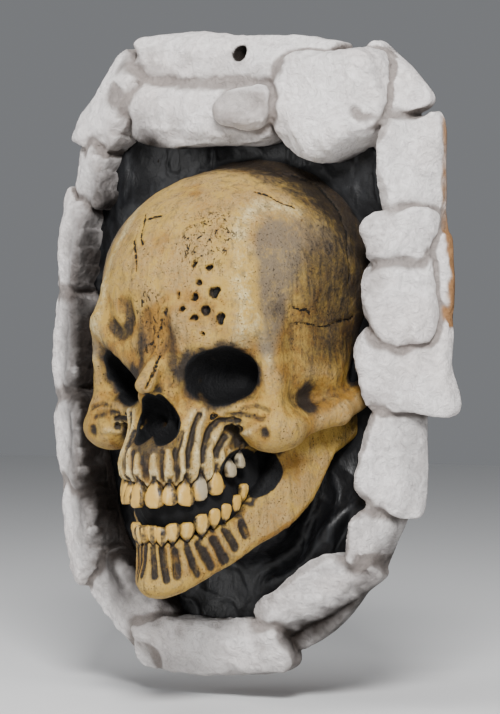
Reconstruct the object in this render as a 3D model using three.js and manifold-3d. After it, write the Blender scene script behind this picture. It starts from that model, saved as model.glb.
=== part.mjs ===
// A hanging wall plaque: a big bone-coloured skull bursts out of a hole in a wall of broken plaster stones.
// It is one casting, a latex skin filled with foam, so it is one closed body, with a flat back and a nail hole.
// Millimetres, +Z up. The back lies in the plane Y = 0 and the skull looks along -Y.
// The free forms are worked out in (x, d, z), where d is the height above the wall.
import * as THREE from 'three';
import { mergeVertices } from 'three/addons/utils/BufferGeometryUtils.js';
import Module from 'manifold-3d';

const wasm = await Module();
wasm.setup();

// Driving sizes of the plaque.
const PLAQUE_WIDTH = 332;
const PLAQUE_HEIGHT = 462;
const STONE_RISE = 1; // makes all the stones stand out more or less
const PLATE_THICKNESS = 9; // the casting's back, behind the stones and the hole
const PLATE_SHARE = 0.84; // how far it reaches towards the plaque's edge
const FLOOR_HEIGHT = 13; // the black ground inside the hole in the wall
const HOLLOW_WIDTH = 244;
const HOLLOW_TOP = 158; // above the plaque's middle
const HOLLOW_BOTTOM = 196; // below the plaque's middle
const HOLLOW_OFFSET = -9; // the hole lies this far to the left of the skull's middle
const NAIL_HOLE_DIAMETER = 11;
const NAIL_HOLE_ABOVE_MIDDLE = 215;

// Driving sizes of the skull. Its features are drawn on a canon 300 units tall and scaled to its height.
const SKULL_HEIGHT = 300;
const CANON = 300;
const u = SKULL_HEIGHT / CANON;

// The mesh of the free forms: how far apart its grid lines lie.
const FINE_STEP = 4.6; // on the face
const COARSE_STEP = 7; // elsewhere
const SKULL_TRIANGLES = 3900;
const FACE_HALF_WIDTH = 78;
const FACE_TOP = 34;
const FACE_BOTTOM = -172;
const FACE_FROM_HEIGHT = 62; // above the wall

// The smaller solids: sides around and rings along each.
const STONE_SIDES = 12;
const STONE_RINGS = [0, 0.62, 0.93];
const TOOTH_SIDES = 6;
const GROUND_SIDES = 30;
const GROUND_RINGS = [1, 0.86, 0.72, 0.58];
const FURROW_SIDES = 4;

// Vector helpers on plain [x, d, z] arrays.
const mix = (a, b, t) => a + (b - a) * t;
const clamp01 = (t) => Math.min(1, Math.max(0, t));
const along = (a, b, t) => a.map((v, i) => mix(v, b[i], t));
const smoothstep = (low, high, v) => {
  const t = clamp01((v - low) / (high - low));
  return t * t * (3 - 2 * t);
};

// Distance-like fields, negative inside.
function ellipsoid(p, centre, radii) {
  let k0 = 0;
  let k1 = 0;
  for (let i = 0; i < 3; i++) {
    const q = (p[i] - centre[i]) / radii[i];
    k0 += q * q;
    k1 += (q / radii[i]) ** 2;
  }
  k0 = Math.sqrt(k0);
  return (k0 * (k0 - 1)) / Math.max(Math.sqrt(k1), 1e-6);
}

function bar(p, from, to, radiusFrom, radiusTo) {
  let dot = 0;
  let length2 = 0;
  for (let i = 0; i < 3; i++) {
    dot += (p[i] - from[i]) * (to[i] - from[i]);
    length2 += (to[i] - from[i]) ** 2;
  }
  const t = clamp01(dot / length2);
  const near = along(from, to, t);
  return Math.hypot(p[0] - near[0], p[1] - near[1], p[2] - near[2]) - mix(radiusFrom, radiusTo, t);
}

const join = (a, b, soft) => {
  const h = Math.max(soft - Math.abs(a - b), 0) / soft;
  return Math.min(a, b) - (h * h * soft) / 4;
};
const carve = (a, b, soft) => -join(-a, b, soft);
const clip = (a, b, soft) => -join(-a, -b, soft);

// The lower jaw is a wall of bone that follows this line from the chin back and up to the ear.
// Each row: x, d, top z, bottom z, half thickness.
const JAW_LINE = [
  [0, 137, -123, -164, 10],
  [13, 125, -122, -163, 10],
  [34, 97, -108, -146, 9.5],
  [46, 79, -86, -132, 9.5],
  [57, 63, -56, -122, 9.5],
  [65, 46, -38, -104, 9.5],
  [72, 28, -34, -72, 9.5],
  [78, 8, -32, -60, 9.5],
];

function jawWall(p) {
  let best = Infinity;
  let at = JAW_LINE[0];
  for (let i = 1; i < JAW_LINE.length; i++) {
    const [a, b] = [JAW_LINE[i - 1], JAW_LINE[i]];
    const [ux, ud] = [b[0] - a[0], b[1] - a[1]];
    const t = clamp01(((p[0] - a[0]) * ux + (p[1] - a[1]) * ud) / (ux * ux + ud * ud));
    const row = along(a, b, t);
    const far = Math.hypot(p[0] - row[0], p[1] - row[1]);
    if (far < best) {
      best = far;
      at = row;
    }
  }
  const [, , top, bottom, thick] = at;
  const upDown = Math.max(p[2] - (top - 5), bottom + 7 - p[2]);
  return clip(best - thick, upDown - 5, 9);
}

function cranium(p) {
  let f = ellipsoid(p, [0, 20, 50], [97, 114, 84]);
  f = join(f, ellipsoid(p, [0, 2, 66], [93, 38, 77]), 12); // the broad crown at the back
  f = join(f, ellipsoid(p, [0, 74, 30], [72, 56, 48]), 26); // forehead, down to the brow
  f = join(f, ellipsoid(p, [0, 50, -9], [94, 64, 52]), 22); // the bone behind the eyes
  f = carve(f, ellipsoid(p, [117, 68, 4], [20, 36, 48]), 26); // temple
  f = carve(f, ellipsoid(p, [92, 70, -30], [15, 16, 12]), 8); // the pit above the cheek arch
  return f;
}

function brow(p) {
  const ridge = bar(p, [9, 122, 7], [58, 110, 24], 12, 10);
  const outerRim = bar(p, [69, 101, 16], [70, 99, -34], 9, 8);
  const lowerRim = bar(p, [68, 100, -36], [26, 117, -38], 7.5, 7);
  return join(join(ridge, outerRim, 12), lowerRim, 10);
}

function noseBridge(p) {
  const ridge = bar(p, [0, 122, 4], [0, 150, -19], 8.5, 10);
  const root = ellipsoid(p, [0, 112, -18], [24, 26, 22]);
  const sides = ellipsoid(p, [0, 96, -46], [37, 42, 34]);
  return join(join(ridge, root, 10), sides, 10);
}

function cheek(p) {
  const bone = ellipsoid(p, [66, 92, -50], [22, 21, 16]);
  const arch = bar(p, [72, 84, -50], [90, 48, -43], 10.5, 9.5);
  const archEnd = bar(p, [90, 48, -43], [94, 0, -24], 9.5, 12);
  return join(join(bone, arch, 10), archEnd, 8);
}

function upperJaw(p) {
  const muzzle = ellipsoid(p, [0, 90, -74], [43, 62, 36]);
  const gum = Math.max(-104 - p[2] + Math.abs(p[0]) * 0.35, 0);
  return Math.max(muzzle, gum - 6);
}

// The black core behind the teeth and under the jaw.
function core(p) {
  return ellipsoid(p, [0, 24, -84], [56, 72, 60]);
}

function openings(p) {
  const tilt = (p[0] - 43) * 0.22; // the eye sockets frown
  const socket = ellipsoid([p[0], p[1], p[2] - tilt], [43, 128, -14], [26, 44, 23]);
  const nostril = ellipsoid(p, [9.5, 146, -51], [9, 34, 13]);
  const noseTop = ellipsoid(p, [3.5, 152, -40], [10, 34, 15]);
  return Math.min(socket, join(nostril, noseTop, 6));
}

// The black ground of the hole: it rises against the skull and the stones, and hangs in a few slack folds.
function ground(x, z) {
  const folds = 3.5 * Math.sin(x / 13 + z / 29) + 2.5 * Math.sin(z / 17 - x / 37);
  const lowRight = smoothstep(20, 95, x) * smoothstep(-60, -150, z);
  return FLOOR_HEIGHT + folds * 0.6 + 16 * lowRight;
}

function skullField(x, d, z) {
  const p = [Math.abs(x) / u, d / u, z / u];
  let f = cranium(p);
  f = join(f, brow(p), 14);
  f = join(f, noseBridge(p), 9);
  f = join(f, cheek(p), 10);
  f = join(f, upperJaw(p), 12);
  f = carve(f, openings(p), 3);
  f = carve(f, ellipsoid(p, [50, 90, -80], [19, 30, 16]), 6); // the corner of the mouth, under the cheek
  f = join(f, jawWall(p), 4);
  f = join(f, ellipsoid(p, [0, 132, -152], [13, 15, 12]), 8); // chin
  f = join(f, core(p), 3);
  return f * u;
}

// Grid lines from low to high, fine between fineLow and fineHigh and coarse outside, scaled with the skull.
function gridLines(low, high, fineLow, fineHigh) {
  const lines = [];
  for (let v = low; v < high; v += v >= fineLow && v < fineHigh ? FINE_STEP : COARSE_STEP) lines.push(v * u);
  lines.push(high * u);
  return lines;
}

// Fills grid points until no square of four has its inside points only across a diagonal, and no cube has
// two inside or two outside points only at opposite corners, because the skin would touch itself there.
function mendTwists(value, node, [nx, nd, nz]) {
  const filled = -COARSE_STEP / 100;
  const inside = (i, j, k) => value[node(i, j, k)] < 0;
  for (let changed = true; changed; ) {
    changed = false;
    for (let i = 1; i < nx - 2; i++)
      for (let j = 1; j < nd - 2; j++)
        for (let k = 1; k < nz - 2; k++) {
          for (const [s, t] of [
            [[1, 0, 0], [0, 1, 0]],
            [[1, 0, 0], [0, 0, 1]],
            [[0, 1, 0], [0, 0, 1]],
          ]) {
            const corners = [
              [i, j, k],
              [i + s[0], j + s[1], k + s[2]],
              [i + t[0], j + t[1], k + t[2]],
              [i + s[0] + t[0], j + s[1] + t[1], k + s[2] + t[2]],
            ];
            const [a, b, c, d] = corners.map((at) => inside(...at));
            if (a !== d || b !== c || a === b) continue;
            value[node(...(a ? corners[1] : corners[0]))] = filled;
            changed = true;
          }
          const cube = Array.from({ length: 8 }, (_, n) => [i + (n & 1), j + ((n >> 1) & 1), k + (n >> 2)]);
          const signs = cube.map((at) => inside(...at));
          const count = signs.filter(Boolean).length;
          for (let n = 0; n < 4; n++) {
            const same = signs[n] === signs[7 - n];
            if (same && ((signs[n] && count === 2) || (!signs[n] && count === 6))) {
              value[node(...cube[signs[n] ? n ^ 1 : n])] = filled;
              changed = true;
            }
          }
        }
  }
}

// A closed mesh of the places where field changes sign: one vertex in each cell that the surface crosses.
function skin(field, xs, ds, zs) {
  const [nx, nd, nz] = [xs.length, ds.length, zs.length];
  const node = (i, j, k) => (i * nd + j) * nz + k;
  const value = new Float64Array(nx * nd * nz);
  for (let i = 0; i < nx; i++)
    for (let j = 0; j < nd; j++)
      for (let k = 0; k < nz; k++) {
        const rim = i === 0 || j === 0 || k === 0 || i === nx - 1 || j === nd - 1 || k === nz - 1;
        value[node(i, j, k)] = rim ? COARSE_STEP : field(xs[i], ds[j], zs[k]);
      }
  mendTwists(value, node, [nx, nd, nz]);
  const points = [];
  const cellPoint = new Int32Array(nx * nd * nz).fill(-1);
  for (let i = 0; i < nx - 1; i++)
    for (let j = 0; j < nd - 1; j++)
      for (let k = 0; k < nz - 1; k++) {
        const sum = [0, 0, 0];
        let crossings = 0;
        for (let axis = 0; axis < 3; axis++)
          for (let side = 0; side < 4; side++) {
            const a = [0, 0, 0];
            a[(axis + 1) % 3] = side & 1;
            a[(axis + 2) % 3] = side >> 1;
            const b = [...a];
            b[axis] = 1;
            const va = value[node(i + a[0], j + a[1], k + a[2])];
            const vb = value[node(i + b[0], j + b[1], k + b[2])];
            if (va < 0 === vb < 0) continue;
            const t = va / (va - vb);
            const at = along(
              [xs[i + a[0]], ds[j + a[1]], zs[k + a[2]]],
              [xs[i + b[0]], ds[j + b[1]], zs[k + b[2]]],
              t,
            );
            for (let n = 0; n < 3; n++) sum[n] += at[n];
            crossings++;
          }
        if (!crossings) continue;
        cellPoint[node(i, j, k)] = points.length;
        points.push(sum.map((v) => v / crossings));
      }
  const triangles = [];
  const step = [
    [1, 0, 0],
    [0, 1, 0],
    [0, 0, 1],
  ];
  for (let i = 0; i < nx - 1; i++)
    for (let j = 0; j < nd - 1; j++)
      for (let k = 0; k < nz - 1; k++)
        for (let axis = 0; axis < 3; axis++) {
          const at = [i, j, k];
          if (at[(axis + 1) % 3] === 0 || at[(axis + 2) % 3] === 0) continue;
          const here = value[node(i, j, k)] < 0;
          const there = value[node(i + step[axis][0], j + step[axis][1], k + step[axis][2])] < 0;
          if (here === there) continue;
          const s = step[(axis + 1) % 3];
          const t = step[(axis + 2) % 3];
          const quad = [
            cellPoint[node(i, j, k)],
            cellPoint[node(i - s[0], j - s[1], k - s[2])],
            cellPoint[node(i - s[0] - t[0], j - s[1] - t[1], k - s[2] - t[2])],
            cellPoint[node(i - t[0], j - t[1], k - t[2])],
          ];
          if (!here) quad.reverse();
          triangles.push(quad[0], quad[2], quad[1], quad[0], quad[3], quad[2]);
        }
  return { points, triangles };
}

const minus = (a, b) => [a[0] - b[0], a[1] - b[1], a[2] - b[2]];
const dot = (a, b) => a[0] * b[0] + a[1] * b[1] + a[2] * b[2];
const cross = (a, b) => [a[1] * b[2] - a[2] * b[1], a[2] * b[0] - a[0] * b[2], a[0] * b[1] - a[1] * b[0]];
const areaVector = (a, b, c) => cross(minus(b, a), minus(c, a));

// For each point, the sum of squared distances to the planes around it, as the ten terms of a symmetric form.
function planesAround(points, faces) {
  const sums = points.map(() => new Float64Array(10));
  for (const [a, b, c] of faces) {
    const n = areaVector(points[a], points[b], points[c]);
    const size = Math.hypot(...n) || 1;
    const [x, y, z] = n.map((v) => v / size);
    const w = -dot([x, y, z], points[a]);
    const terms = [x * x, x * y, x * z, x * w, y * y, y * z, y * w, z * z, z * w, w * w];
    for (const corner of [a, b, c]) terms.forEach((v, i) => (sums[corner][i] += v * size));
  }
  return sums;
}

function misfit(q, [x, y, z]) {
  const squares = q[0] * x * x + q[4] * y * y + q[7] * z * z;
  const products = q[1] * x * y + q[2] * x * z + q[5] * y * z + q[3] * x + q[6] * y + q[8] * z;
  return squares + 2 * products + q[9];
}

function bestPoint(q, a, b) {
  const middle = along(a, b, 0.5);
  const [r0, r1, r2] = [[q[0], q[1], q[2]], [q[1], q[4], q[5]], [q[2], q[5], q[7]]];
  const det = dot(r0, cross(r1, r2));
  if (Math.abs(det) > 1e-3 * (q[0] + q[4] + q[7]) ** 3) {
    const right = [-q[3], -q[6], -q[8]];
    const [c12, c20, c01] = [cross(r1, r2), cross(r2, r0), cross(r0, r1)];
    const point = [0, 1, 2].map((i) => (right[0] * c12[i] + right[1] * c20[i] + right[2] * c01[i]) / det);
    if (Math.hypot(...minus(point, middle)) < 2 * Math.hypot(...minus(a, b))) return point;
  }
  return [middle, a, b].reduce((best, p) => (misfit(q, p) < misfit(q, best) ? p : best));
}

// Thins a closed mesh to about the wanted number of triangles: edges close up where that changes the form least.
function thin({ points, triangles }, wanted) {
  const place = points.map((p) => [...p]);
  let faces = [];
  for (let i = 0; i < triangles.length; i += 3) faces.push(triangles.slice(i, i + 3));
  const planes = planesAround(place, faces);
  while (faces.length > wanted) {
    const facesAt = place.map(() => []);
    faces.forEach((face) => face.forEach((corner) => facesAt[corner].push(face)));
    const edges = [];
    for (const [a, b, c] of faces)
      for (const [from, to] of [[a, b], [b, c], [c, a]]) {
        if (from > to) continue;
        const q = planes[from].map((v, i) => v + planes[to][i]);
        const point = bestPoint(q, place[from], place[to]);
        const length2 = dot(minus(place[from], place[to]), minus(place[from], place[to]));
        edges.push({ from, to, q, point, cost: misfit(q, point) + 1e-3 * length2 });
      }
    edges.sort((one, other) => one.cost - other.cost);
    const touched = new Set();
    const gone = new Map();
    const most = Math.min((faces.length - wanted) / 2, edges.length * 0.08);
    for (const { from, to, q, point } of edges) {
      if (gone.size >= most) break;
      const ring = new Set([...facesAt[from], ...facesAt[to]].flat());
      if ([...ring].some((corner) => touched.has(corner))) continue;
      const near = (corner) => new Set(facesAt[corner].flat());
      const shared = [...near(from)].filter((corner) => near(to).has(corner));
      if (shared.length !== 4) continue; // the two ends and the two corners beside the edge
      const moved = (corner) => (corner === from || corner === to ? point : place[corner]);
      const turns = [...facesAt[from], ...facesAt[to]].some((face) => {
        if (face.includes(from) && face.includes(to)) return false;
        const before = areaVector(...face.map((corner) => place[corner]));
        const after = areaVector(...face.map(moved));
        return dot(before, after) < 0.3 * Math.hypot(...before) * Math.hypot(...after);
      });
      if (turns) continue;
      place[from] = point;
      planes[from] = q;
      gone.set(to, from);
      ring.forEach((corner) => touched.add(corner));
    }
    if (!gone.size) break;
    faces = faces.map((face) => face.map((corner) => gone.get(corner) ?? corner));
    faces = faces.filter(([a, b, c]) => a !== b && b !== c && c !== a);
  }
  return { points: place, triangles: faces.flat() };
}

// A solid from points in (x, d, z) and triangles that face outwards in the plaque's own frame.
function solid({ points, triangles }) {
  const geometry = new THREE.BufferGeometry();
  const flat = points.flatMap(([x, d, z]) => [x, -d, z]);
  geometry.setAttribute('position', new THREE.Float32BufferAttribute(flat, 3));
  geometry.setIndex(triangles);
  return solidOf(geometry);
}

function solidOf(geometry) {
  geometry.deleteAttribute('normal');
  geometry.deleteAttribute('uv');
  const merged = mergeVertices(geometry, 1e-4);
  return new wasm.Manifold(
    new wasm.Mesh({
      numProp: 3,
      vertProperties: Float32Array.from(merged.attributes.position.array),
      triVerts: Uint32Array.from(merged.index.array),
    }),
  );
}

// A closed body of rings, each a list of points, with a point at either end.
function ringed(rings, start, end) {
  const sides = rings[0].length;
  const points = [start, ...rings.flat(), end];
  const triangles = [];
  const id = (ring, side) => 1 + ring * sides + (side % sides);
  for (let s = 0; s < sides; s++) {
    triangles.push(0, id(0, s + 1), id(0, s));
    for (let r = 0; r + 1 < rings.length; r++) {
      triangles.push(id(r, s), id(r, s + 1), id(r + 1, s + 1), id(r, s), id(r + 1, s + 1), id(r + 1, s));
    }
    triangles.push(id(rings.length - 1, s), id(rings.length - 1, s + 1), points.length - 1);
  }
  return { points, triangles };
}

// The stones around the hole, clockwise from the nail hole. Each row: x and z of the middle of its edge at the
// hole, x and z of the middle of its edge at the plaque's rim, half its length along the ring, and its height
// above the wall at the one edge and at the other. They are drawn for a plaque of this width and height.
const STONE_CANON_WIDTH = 332;
const STONE_CANON_HEIGHT = 462;
const STONES = {
  topBand: [-14, 200, -12, 227, 74, 36, 28],
  topSlab: [-30, 154, -28, 206, 62, 48, 36],
  lump: [14, 158, 17, 187, 25, 62, 54],
  bigBoulder: [80, 140, 68, 210, 38, 54, 44],
  topRight: [97, 175, 121, 199, 25, 42, 12],
  rightHigh: [117, 128, 147, 128, 33, 46, 14],
  rightRound: [113, 82, 146, 79, 20, 54, 26],
  rightBack: [132, 55, 154, 55, 24, 22, 9],
  rightLong: [110, 14, 144, 18, 46, 50, 30],
  rightOuter: [134, -9, 155, -6, 29, 34, 12],
  rightLow: [105, -72, 133, -73, 34, 45, 12],
  lowRound: [94, -123, 110, -130, 20, 45, 14],
  lowDiagonal: [46, -157, 61, -182, 43, 42, 15],
  bottom: [-22, -191, -20, -228, 43, 36, 18],
  lowLeft: [-78, -168, -110, -202, 42, 38, 20],
  leftLow: [-124, -129, -161, -133, 31, 40, 20],
  leftMiddle: [-135, -63, -167, -66, 35, 40, 20],
  leftHigh: [-139, 10, -170, 10, 35, 40, 20],
  leftUpper: [-136, 80, -166, 83, 33, 40, 20],
  shoulder: [-118, 134, -150, 136, 24, 42, 20],
  topLeft: [-101, 168, -132, 193, 29, 44, 22],
};

const EGG_POWER = 2.4; // how square the outline of the hole is
const STONE_OVERLAP = 1.2; // the stones run a little into each other, which leaves only creases between them
const STONE_SPREAD = 0.1; // how much longer a stone is at the plaque's rim than in its middle
const OUTLINE_POWER = 5; // how square the stones' outlines are
const DOME_POWER = 5; // how flat their faces are

// A stone's outline is a broken square: its radius as a share of the half sizes.
function outlineRadius(angle, first) {
  const [c, s] = [Math.abs(Math.cos(angle)), Math.abs(Math.sin(angle))];
  const square = (c ** OUTLINE_POWER + s ** OUTLINE_POWER) ** (-1 / OUTLINE_POWER);
  return square * (0.97 + 0.04 * Math.sin(3 * angle + first * 2.3) + 0.03 * Math.sin(5 * angle + first * 4.1));
}

function stone([xIn, zIn, xOut, zOut, halfLength, heightIn, heightOut], first) {
  const across = PLAQUE_WIDTH / STONE_CANON_WIDTH;
  const upwards = PLAQUE_HEIGHT / STONE_CANON_HEIGHT;
  const middle = new THREE.Vector2(xIn + xOut, zIn + zOut).multiplyScalar(0.5);
  const out = new THREE.Vector2(xOut - xIn, zOut - zIn).multiplyScalar(0.5);
  const sideways = new THREE.Vector2(out.y, -out.x).setLength(halfLength);
  const place = (angle, share, level) => {
    const r = outlineRadius(angle, first) * share * STONE_OVERLAP;
    const a = Math.cos(angle) * r;
    const b = Math.sin(angle) * r * (1 + STONE_SPREAD * a);
    const lumps = 1 + 0.05 * Math.sin(3 * a + 2 * b + first);
    const top = mix(heightIn, heightOut, (a + 1) / 2) * lumps * STONE_RISE;
    const [x, z] = [middle.x + out.x * a + sideways.x * b, middle.y + out.y * a + sideways.y * b];
    return [x * across, level * top, z * upwards];
  };
  const angles = Array.from({ length: STONE_SIDES }, (_, s) => -((s + 0.5) / STONE_SIDES) * 2 * Math.PI);
  const rings = STONE_RINGS.map((level) => {
    const share = (1 - level ** DOME_POWER) ** (1 / DOME_POWER);
    return angles.map((angle) => place(angle, share, level));
  });
  return solid(ringed(rings, place(0, 0, 0), place(0, 0, 1)));
}

// A flat slab with a rounded outline, from the wall up to a height.
function slab(outline, height) {
  const geometry = new THREE.ExtrudeGeometry(new THREE.Shape(outline), { depth: height, bevelEnabled: false });
  geometry.rotateX(Math.PI / 2); // the outline's Y becomes Z, and the slab rises along -Y
  return solidOf(geometry);
}

// A squarish oval, taller or lower above its middle than below.
function egg(halfWidth, top, bottom) {
  return Array.from({ length: GROUND_SIDES }, (_, n) => {
    const angle = (n / GROUND_SIDES) * 2 * Math.PI;
    const [c, s] = [Math.cos(angle), Math.sin(angle)];
    const r = (Math.abs(c) ** EGG_POWER + Math.abs(s) ** EGG_POWER) ** (-1 / EGG_POWER);
    return new THREE.Vector2(c * r * halfWidth + HOLLOW_OFFSET, s * r * (s > 0 ? top : bottom));
  });
}

function backPlate() {
  const halfWidth = (PLAQUE_WIDTH / 2) * PLATE_SHARE;
  const halfHeight = (PLAQUE_HEIGHT / 2) * PLATE_SHARE;
  return slab(egg(halfWidth, halfHeight, halfHeight), PLATE_THICKNESS);
}

// A tooth's sections from its root to its edge: the share of its height, width and thickness.
const TOOTH_LEVELS = [
  [-0.5, 0.5, 0.8],
  [0.05, 0.95, 1],
  [0.75, 1, 0.9],
  [1, 0.72, 0.45],
];

// One tooth, set on the dental arch and facing outwards.
// rise is +1 for the lower row, whose crowns stand up, and -1 for the upper row.
function tooth(at, facing, width, height, rise) {
  const [out, side] = [
    [Math.sin(facing), Math.cos(facing)],
    [Math.cos(facing), -Math.sin(facing)],
  ];
  const place = (angle, w, t, level) => {
    const a = (Math.cos(angle) * width * w) / 2;
    const b = (Math.sin(angle) * TOOTH_THICKNESS * t) / 2;
    const [x, d] = [at[0] + side[0] * a + out[0] * b, at[1] + side[1] * a + out[1] * b];
    return [x, d, at[2] + rise * level * height].map((v) => v * u);
  };
  const rings = TOOTH_LEVELS.map(([level, w, t]) =>
    Array.from({ length: TOOTH_SIDES }, (_, s) => place((s / TOOTH_SIDES) * 2 * Math.PI * -rise, w, t, level)),
  );
  return solid(ringed(rings, place(0, 0, 0, TOOTH_LEVELS[0][0]), place(0, 0, 0, TOOTH_LEVELS.at(-1)[0])));
}

// A row of teeth along the arch, in units of the canon. half is half the arch's width, back its height above
// the wall at the sides, and reach how much further its middle stands out. root is where the crowns begin, and
// lift how much higher the last one sits.
const TOOTH_THICKNESS = 9.5;
const ARCH_ANGLE = 1.42; // radians from the middle tooth to the last one
const TEETH_A_SIDE = 7;
const UPPER_ROW = { half: 39, back: 90, reach: 59, width: 11.6, height: 13, root: -90, lift: 26, rise: -1 };
const LOWER_ROW = { half: 33, back: 82, reach: 60, width: 10.4, height: 11, root: -127, lift: 18, rise: 1 };

function toothRow({ half, back, reach, width, height, root, lift, rise }) {
  const made = [];
  for (const side of [-1, 1])
    for (let n = 0; n < TEETH_A_SIDE; n++) {
      const angle = ((n + 0.5) / TEETH_A_SIDE) * ARCH_ANGLE;
      const at = [side * half * Math.sin(angle), back + reach * Math.cos(angle)];
      const z = root + lift * (1 - Math.cos(angle)) ** 1.2;
      const facing = side * Math.atan2(Math.sin(angle) / half, Math.cos(angle) / reach);
      const narrow = n === 1 ? 0.88 : 1; // the second tooth is a narrow one
      made.push(tooth([at[0], at[1], z], facing, width * narrow, height, rise));
    }
  return made;
}

// Furrows between the roots of the teeth: spindles cut into the bone.
const FURROW_RADIUS = 3.6;

function furrow(from, to) {
  const rings = [0.12, 0.5, 0.88].map((t) => {
    const mid = along(from, to, t);
    const r = FURROW_RADIUS * Math.sin(Math.PI * mix(0.18, 0.82, t));
    return Array.from({ length: FURROW_SIDES }, (_, s) => {
      const angle = (s / FURROW_SIDES) * 2 * Math.PI;
      return [mid[0] + Math.cos(angle) * r, mid[1] - Math.sin(angle) * r, mid[2]];
    });
  });
  const scaled = (p) => p.map((v) => v * u);
  return solid(ringed(rings.map((ring) => ring.map(scaled)), scaled(from), scaled(to)));
}

function furrows() {
  const cuts = [];
  for (const side of [-1, 1]) {
    // above the upper teeth
    for (let n = 0; n < 4; n++) {
      const angle = ((n + 0.7) / 6) * ARCH_ANGLE;
      const [sx, cx] = [Math.sin(angle), Math.cos(angle)];
      const from = [side * (38 * sx + 3), 90 + 58 * cx, -84 + 3 * n];
      const to = [side * (43 * sx + 3), 89 + 55 * cx, -62 + 4 * n];
      cuts.push(furrow(from, to));
    }
    // below the lower teeth
    for (let n = 0; n < 5; n++) {
      const angle = ((n + 0.5) / 6) * ARCH_ANGLE;
      const [sx, cx] = [Math.sin(angle), Math.cos(angle)];
      const low = [side * (31 * sx + 1), 88 + 54 * cx, -156 + 5 * n];
      const high = [side * (33 * sx + 1), 84 + 61 * cx, -130 + 3 * n];
      cuts.push(furrow(low, high));
    }
  }
  return cuts;
}

// A round cut through the whole plaque for the nail.
function nailHole() {
  const geometry = new THREE.CylinderGeometry(NAIL_HOLE_DIAMETER / 2, NAIL_HOLE_DIAMETER / 2, PLAQUE_WIDTH, 20);
  geometry.translate(0, 0, NAIL_HOLE_ABOVE_MIDDLE);
  return solidOf(geometry);
}

// Everything behind the wall plane goes, which leaves the flat back.
function behindWall() {
  const geometry = new THREE.BoxGeometry(2 * PLAQUE_WIDTH, PLAQUE_HEIGHT, 2 * PLAQUE_HEIGHT);
  geometry.translate(0, PLAQUE_HEIGHT / 2, 0);
  return solidOf(geometry);
}

function skull() {
  const xs = gridLines(-118, 118, -FACE_HALF_WIDTH, FACE_HALF_WIDTH);
  const ds = gridLines(-2 * COARSE_STEP, 178, FACE_FROM_HEIGHT, Infinity);
  const zs = gridLines(-186, 150, FACE_BOTTOM, FACE_TOP);
  return solid(thin(skin(skullField, xs, ds, zs), SKULL_TRIANGLES));
}

function blackGround() {
  const outline = egg(HOLLOW_WIDTH / 2, HOLLOW_TOP, HOLLOW_BOTTOM);
  const rings = GROUND_RINGS.map((share) =>
    outline.map(({ x, y }) => [x * share, ground(x * share, y * share), y * share]),
  );
  const foot = outline.map(({ x, y }) => [x, -PLATE_THICKNESS, y]);
  return solid(ringed([foot, ...rings], [0, -PLATE_THICKNESS, 0], [0, FLOOR_HEIGHT, 0]));
}

// The outer skin alone, so that no small hollow stays sealed inside the plaque.
function filled(body) {
  return body.decompose().reduce((largest, one) => (one.volume() > largest.volume() ? one : largest));
}

function plaque() {
  let body = backPlate();
  Object.values(STONES).forEach((row, n) => (body = body.add(stone(row, n + 1))));
  body = body.add(blackGround()).add(skull());
  for (const cut of furrows()) body = body.subtract(cut);
  for (const one of [...toothRow(UPPER_ROW), ...toothRow(LOWER_ROW)]) body = body.add(one);
  return filled(body.subtract(nailHole()).subtract(behindWall()));
}

function meshOf(name, body, material) {
  const { vertProperties, triVerts } = body.getMesh();
  const geometry = new THREE.BufferGeometry();
  geometry.setAttribute('position', new THREE.Float32BufferAttribute(vertProperties, 3));
  geometry.setIndex(new THREE.Uint32BufferAttribute(triVerts, 1));
  geometry.computeVertexNormals();
  const mesh = new THREE.Mesh(geometry, material);
  mesh.name = name;
  return mesh;
}

const paintedLatex = new THREE.MeshStandardMaterial({ color: 0xdcd8d4, roughness: 0.75, metalness: 0 });

const group = new THREE.Group();
group.add(meshOf('skull_plaque', plaque(), paintedLatex));
export default group;
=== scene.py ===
"""Skull wall plaque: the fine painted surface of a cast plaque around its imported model.

A bone-coloured skull bursts out of a black hollow in a ring of broken plaster stones. The casting is a latex
skin filled with foam. Every form is sculpted as a field of millimetres in (x, d, z), where d is the height
above the wall, and skinned on a grid. Meshes are in metres, with the wall at Y = 0 and the skull looking
along -Y.
"""

import math

import bpy
import numpy as np
from bpy.props import FloatProperty, FloatVectorProperty, IntProperty, PointerProperty
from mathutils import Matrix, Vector


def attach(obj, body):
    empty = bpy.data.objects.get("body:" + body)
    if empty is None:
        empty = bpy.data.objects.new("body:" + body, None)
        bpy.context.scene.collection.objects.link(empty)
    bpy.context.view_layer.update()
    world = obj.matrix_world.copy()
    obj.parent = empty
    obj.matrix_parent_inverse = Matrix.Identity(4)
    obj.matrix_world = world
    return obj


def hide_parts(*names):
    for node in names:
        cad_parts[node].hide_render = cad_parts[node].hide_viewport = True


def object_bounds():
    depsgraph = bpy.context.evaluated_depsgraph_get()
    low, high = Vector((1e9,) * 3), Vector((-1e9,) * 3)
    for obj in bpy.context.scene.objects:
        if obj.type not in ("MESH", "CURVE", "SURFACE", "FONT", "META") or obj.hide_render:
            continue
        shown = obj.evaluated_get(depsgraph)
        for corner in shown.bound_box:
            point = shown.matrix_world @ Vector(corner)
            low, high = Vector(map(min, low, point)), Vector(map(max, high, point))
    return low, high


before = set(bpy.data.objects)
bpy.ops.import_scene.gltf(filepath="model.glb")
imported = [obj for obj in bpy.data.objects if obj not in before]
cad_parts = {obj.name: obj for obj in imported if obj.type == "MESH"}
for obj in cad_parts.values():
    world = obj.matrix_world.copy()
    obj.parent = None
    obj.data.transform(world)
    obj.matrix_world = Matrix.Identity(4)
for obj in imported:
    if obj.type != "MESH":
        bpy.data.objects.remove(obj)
CAD_LOW, CAD_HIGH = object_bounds()

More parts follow.
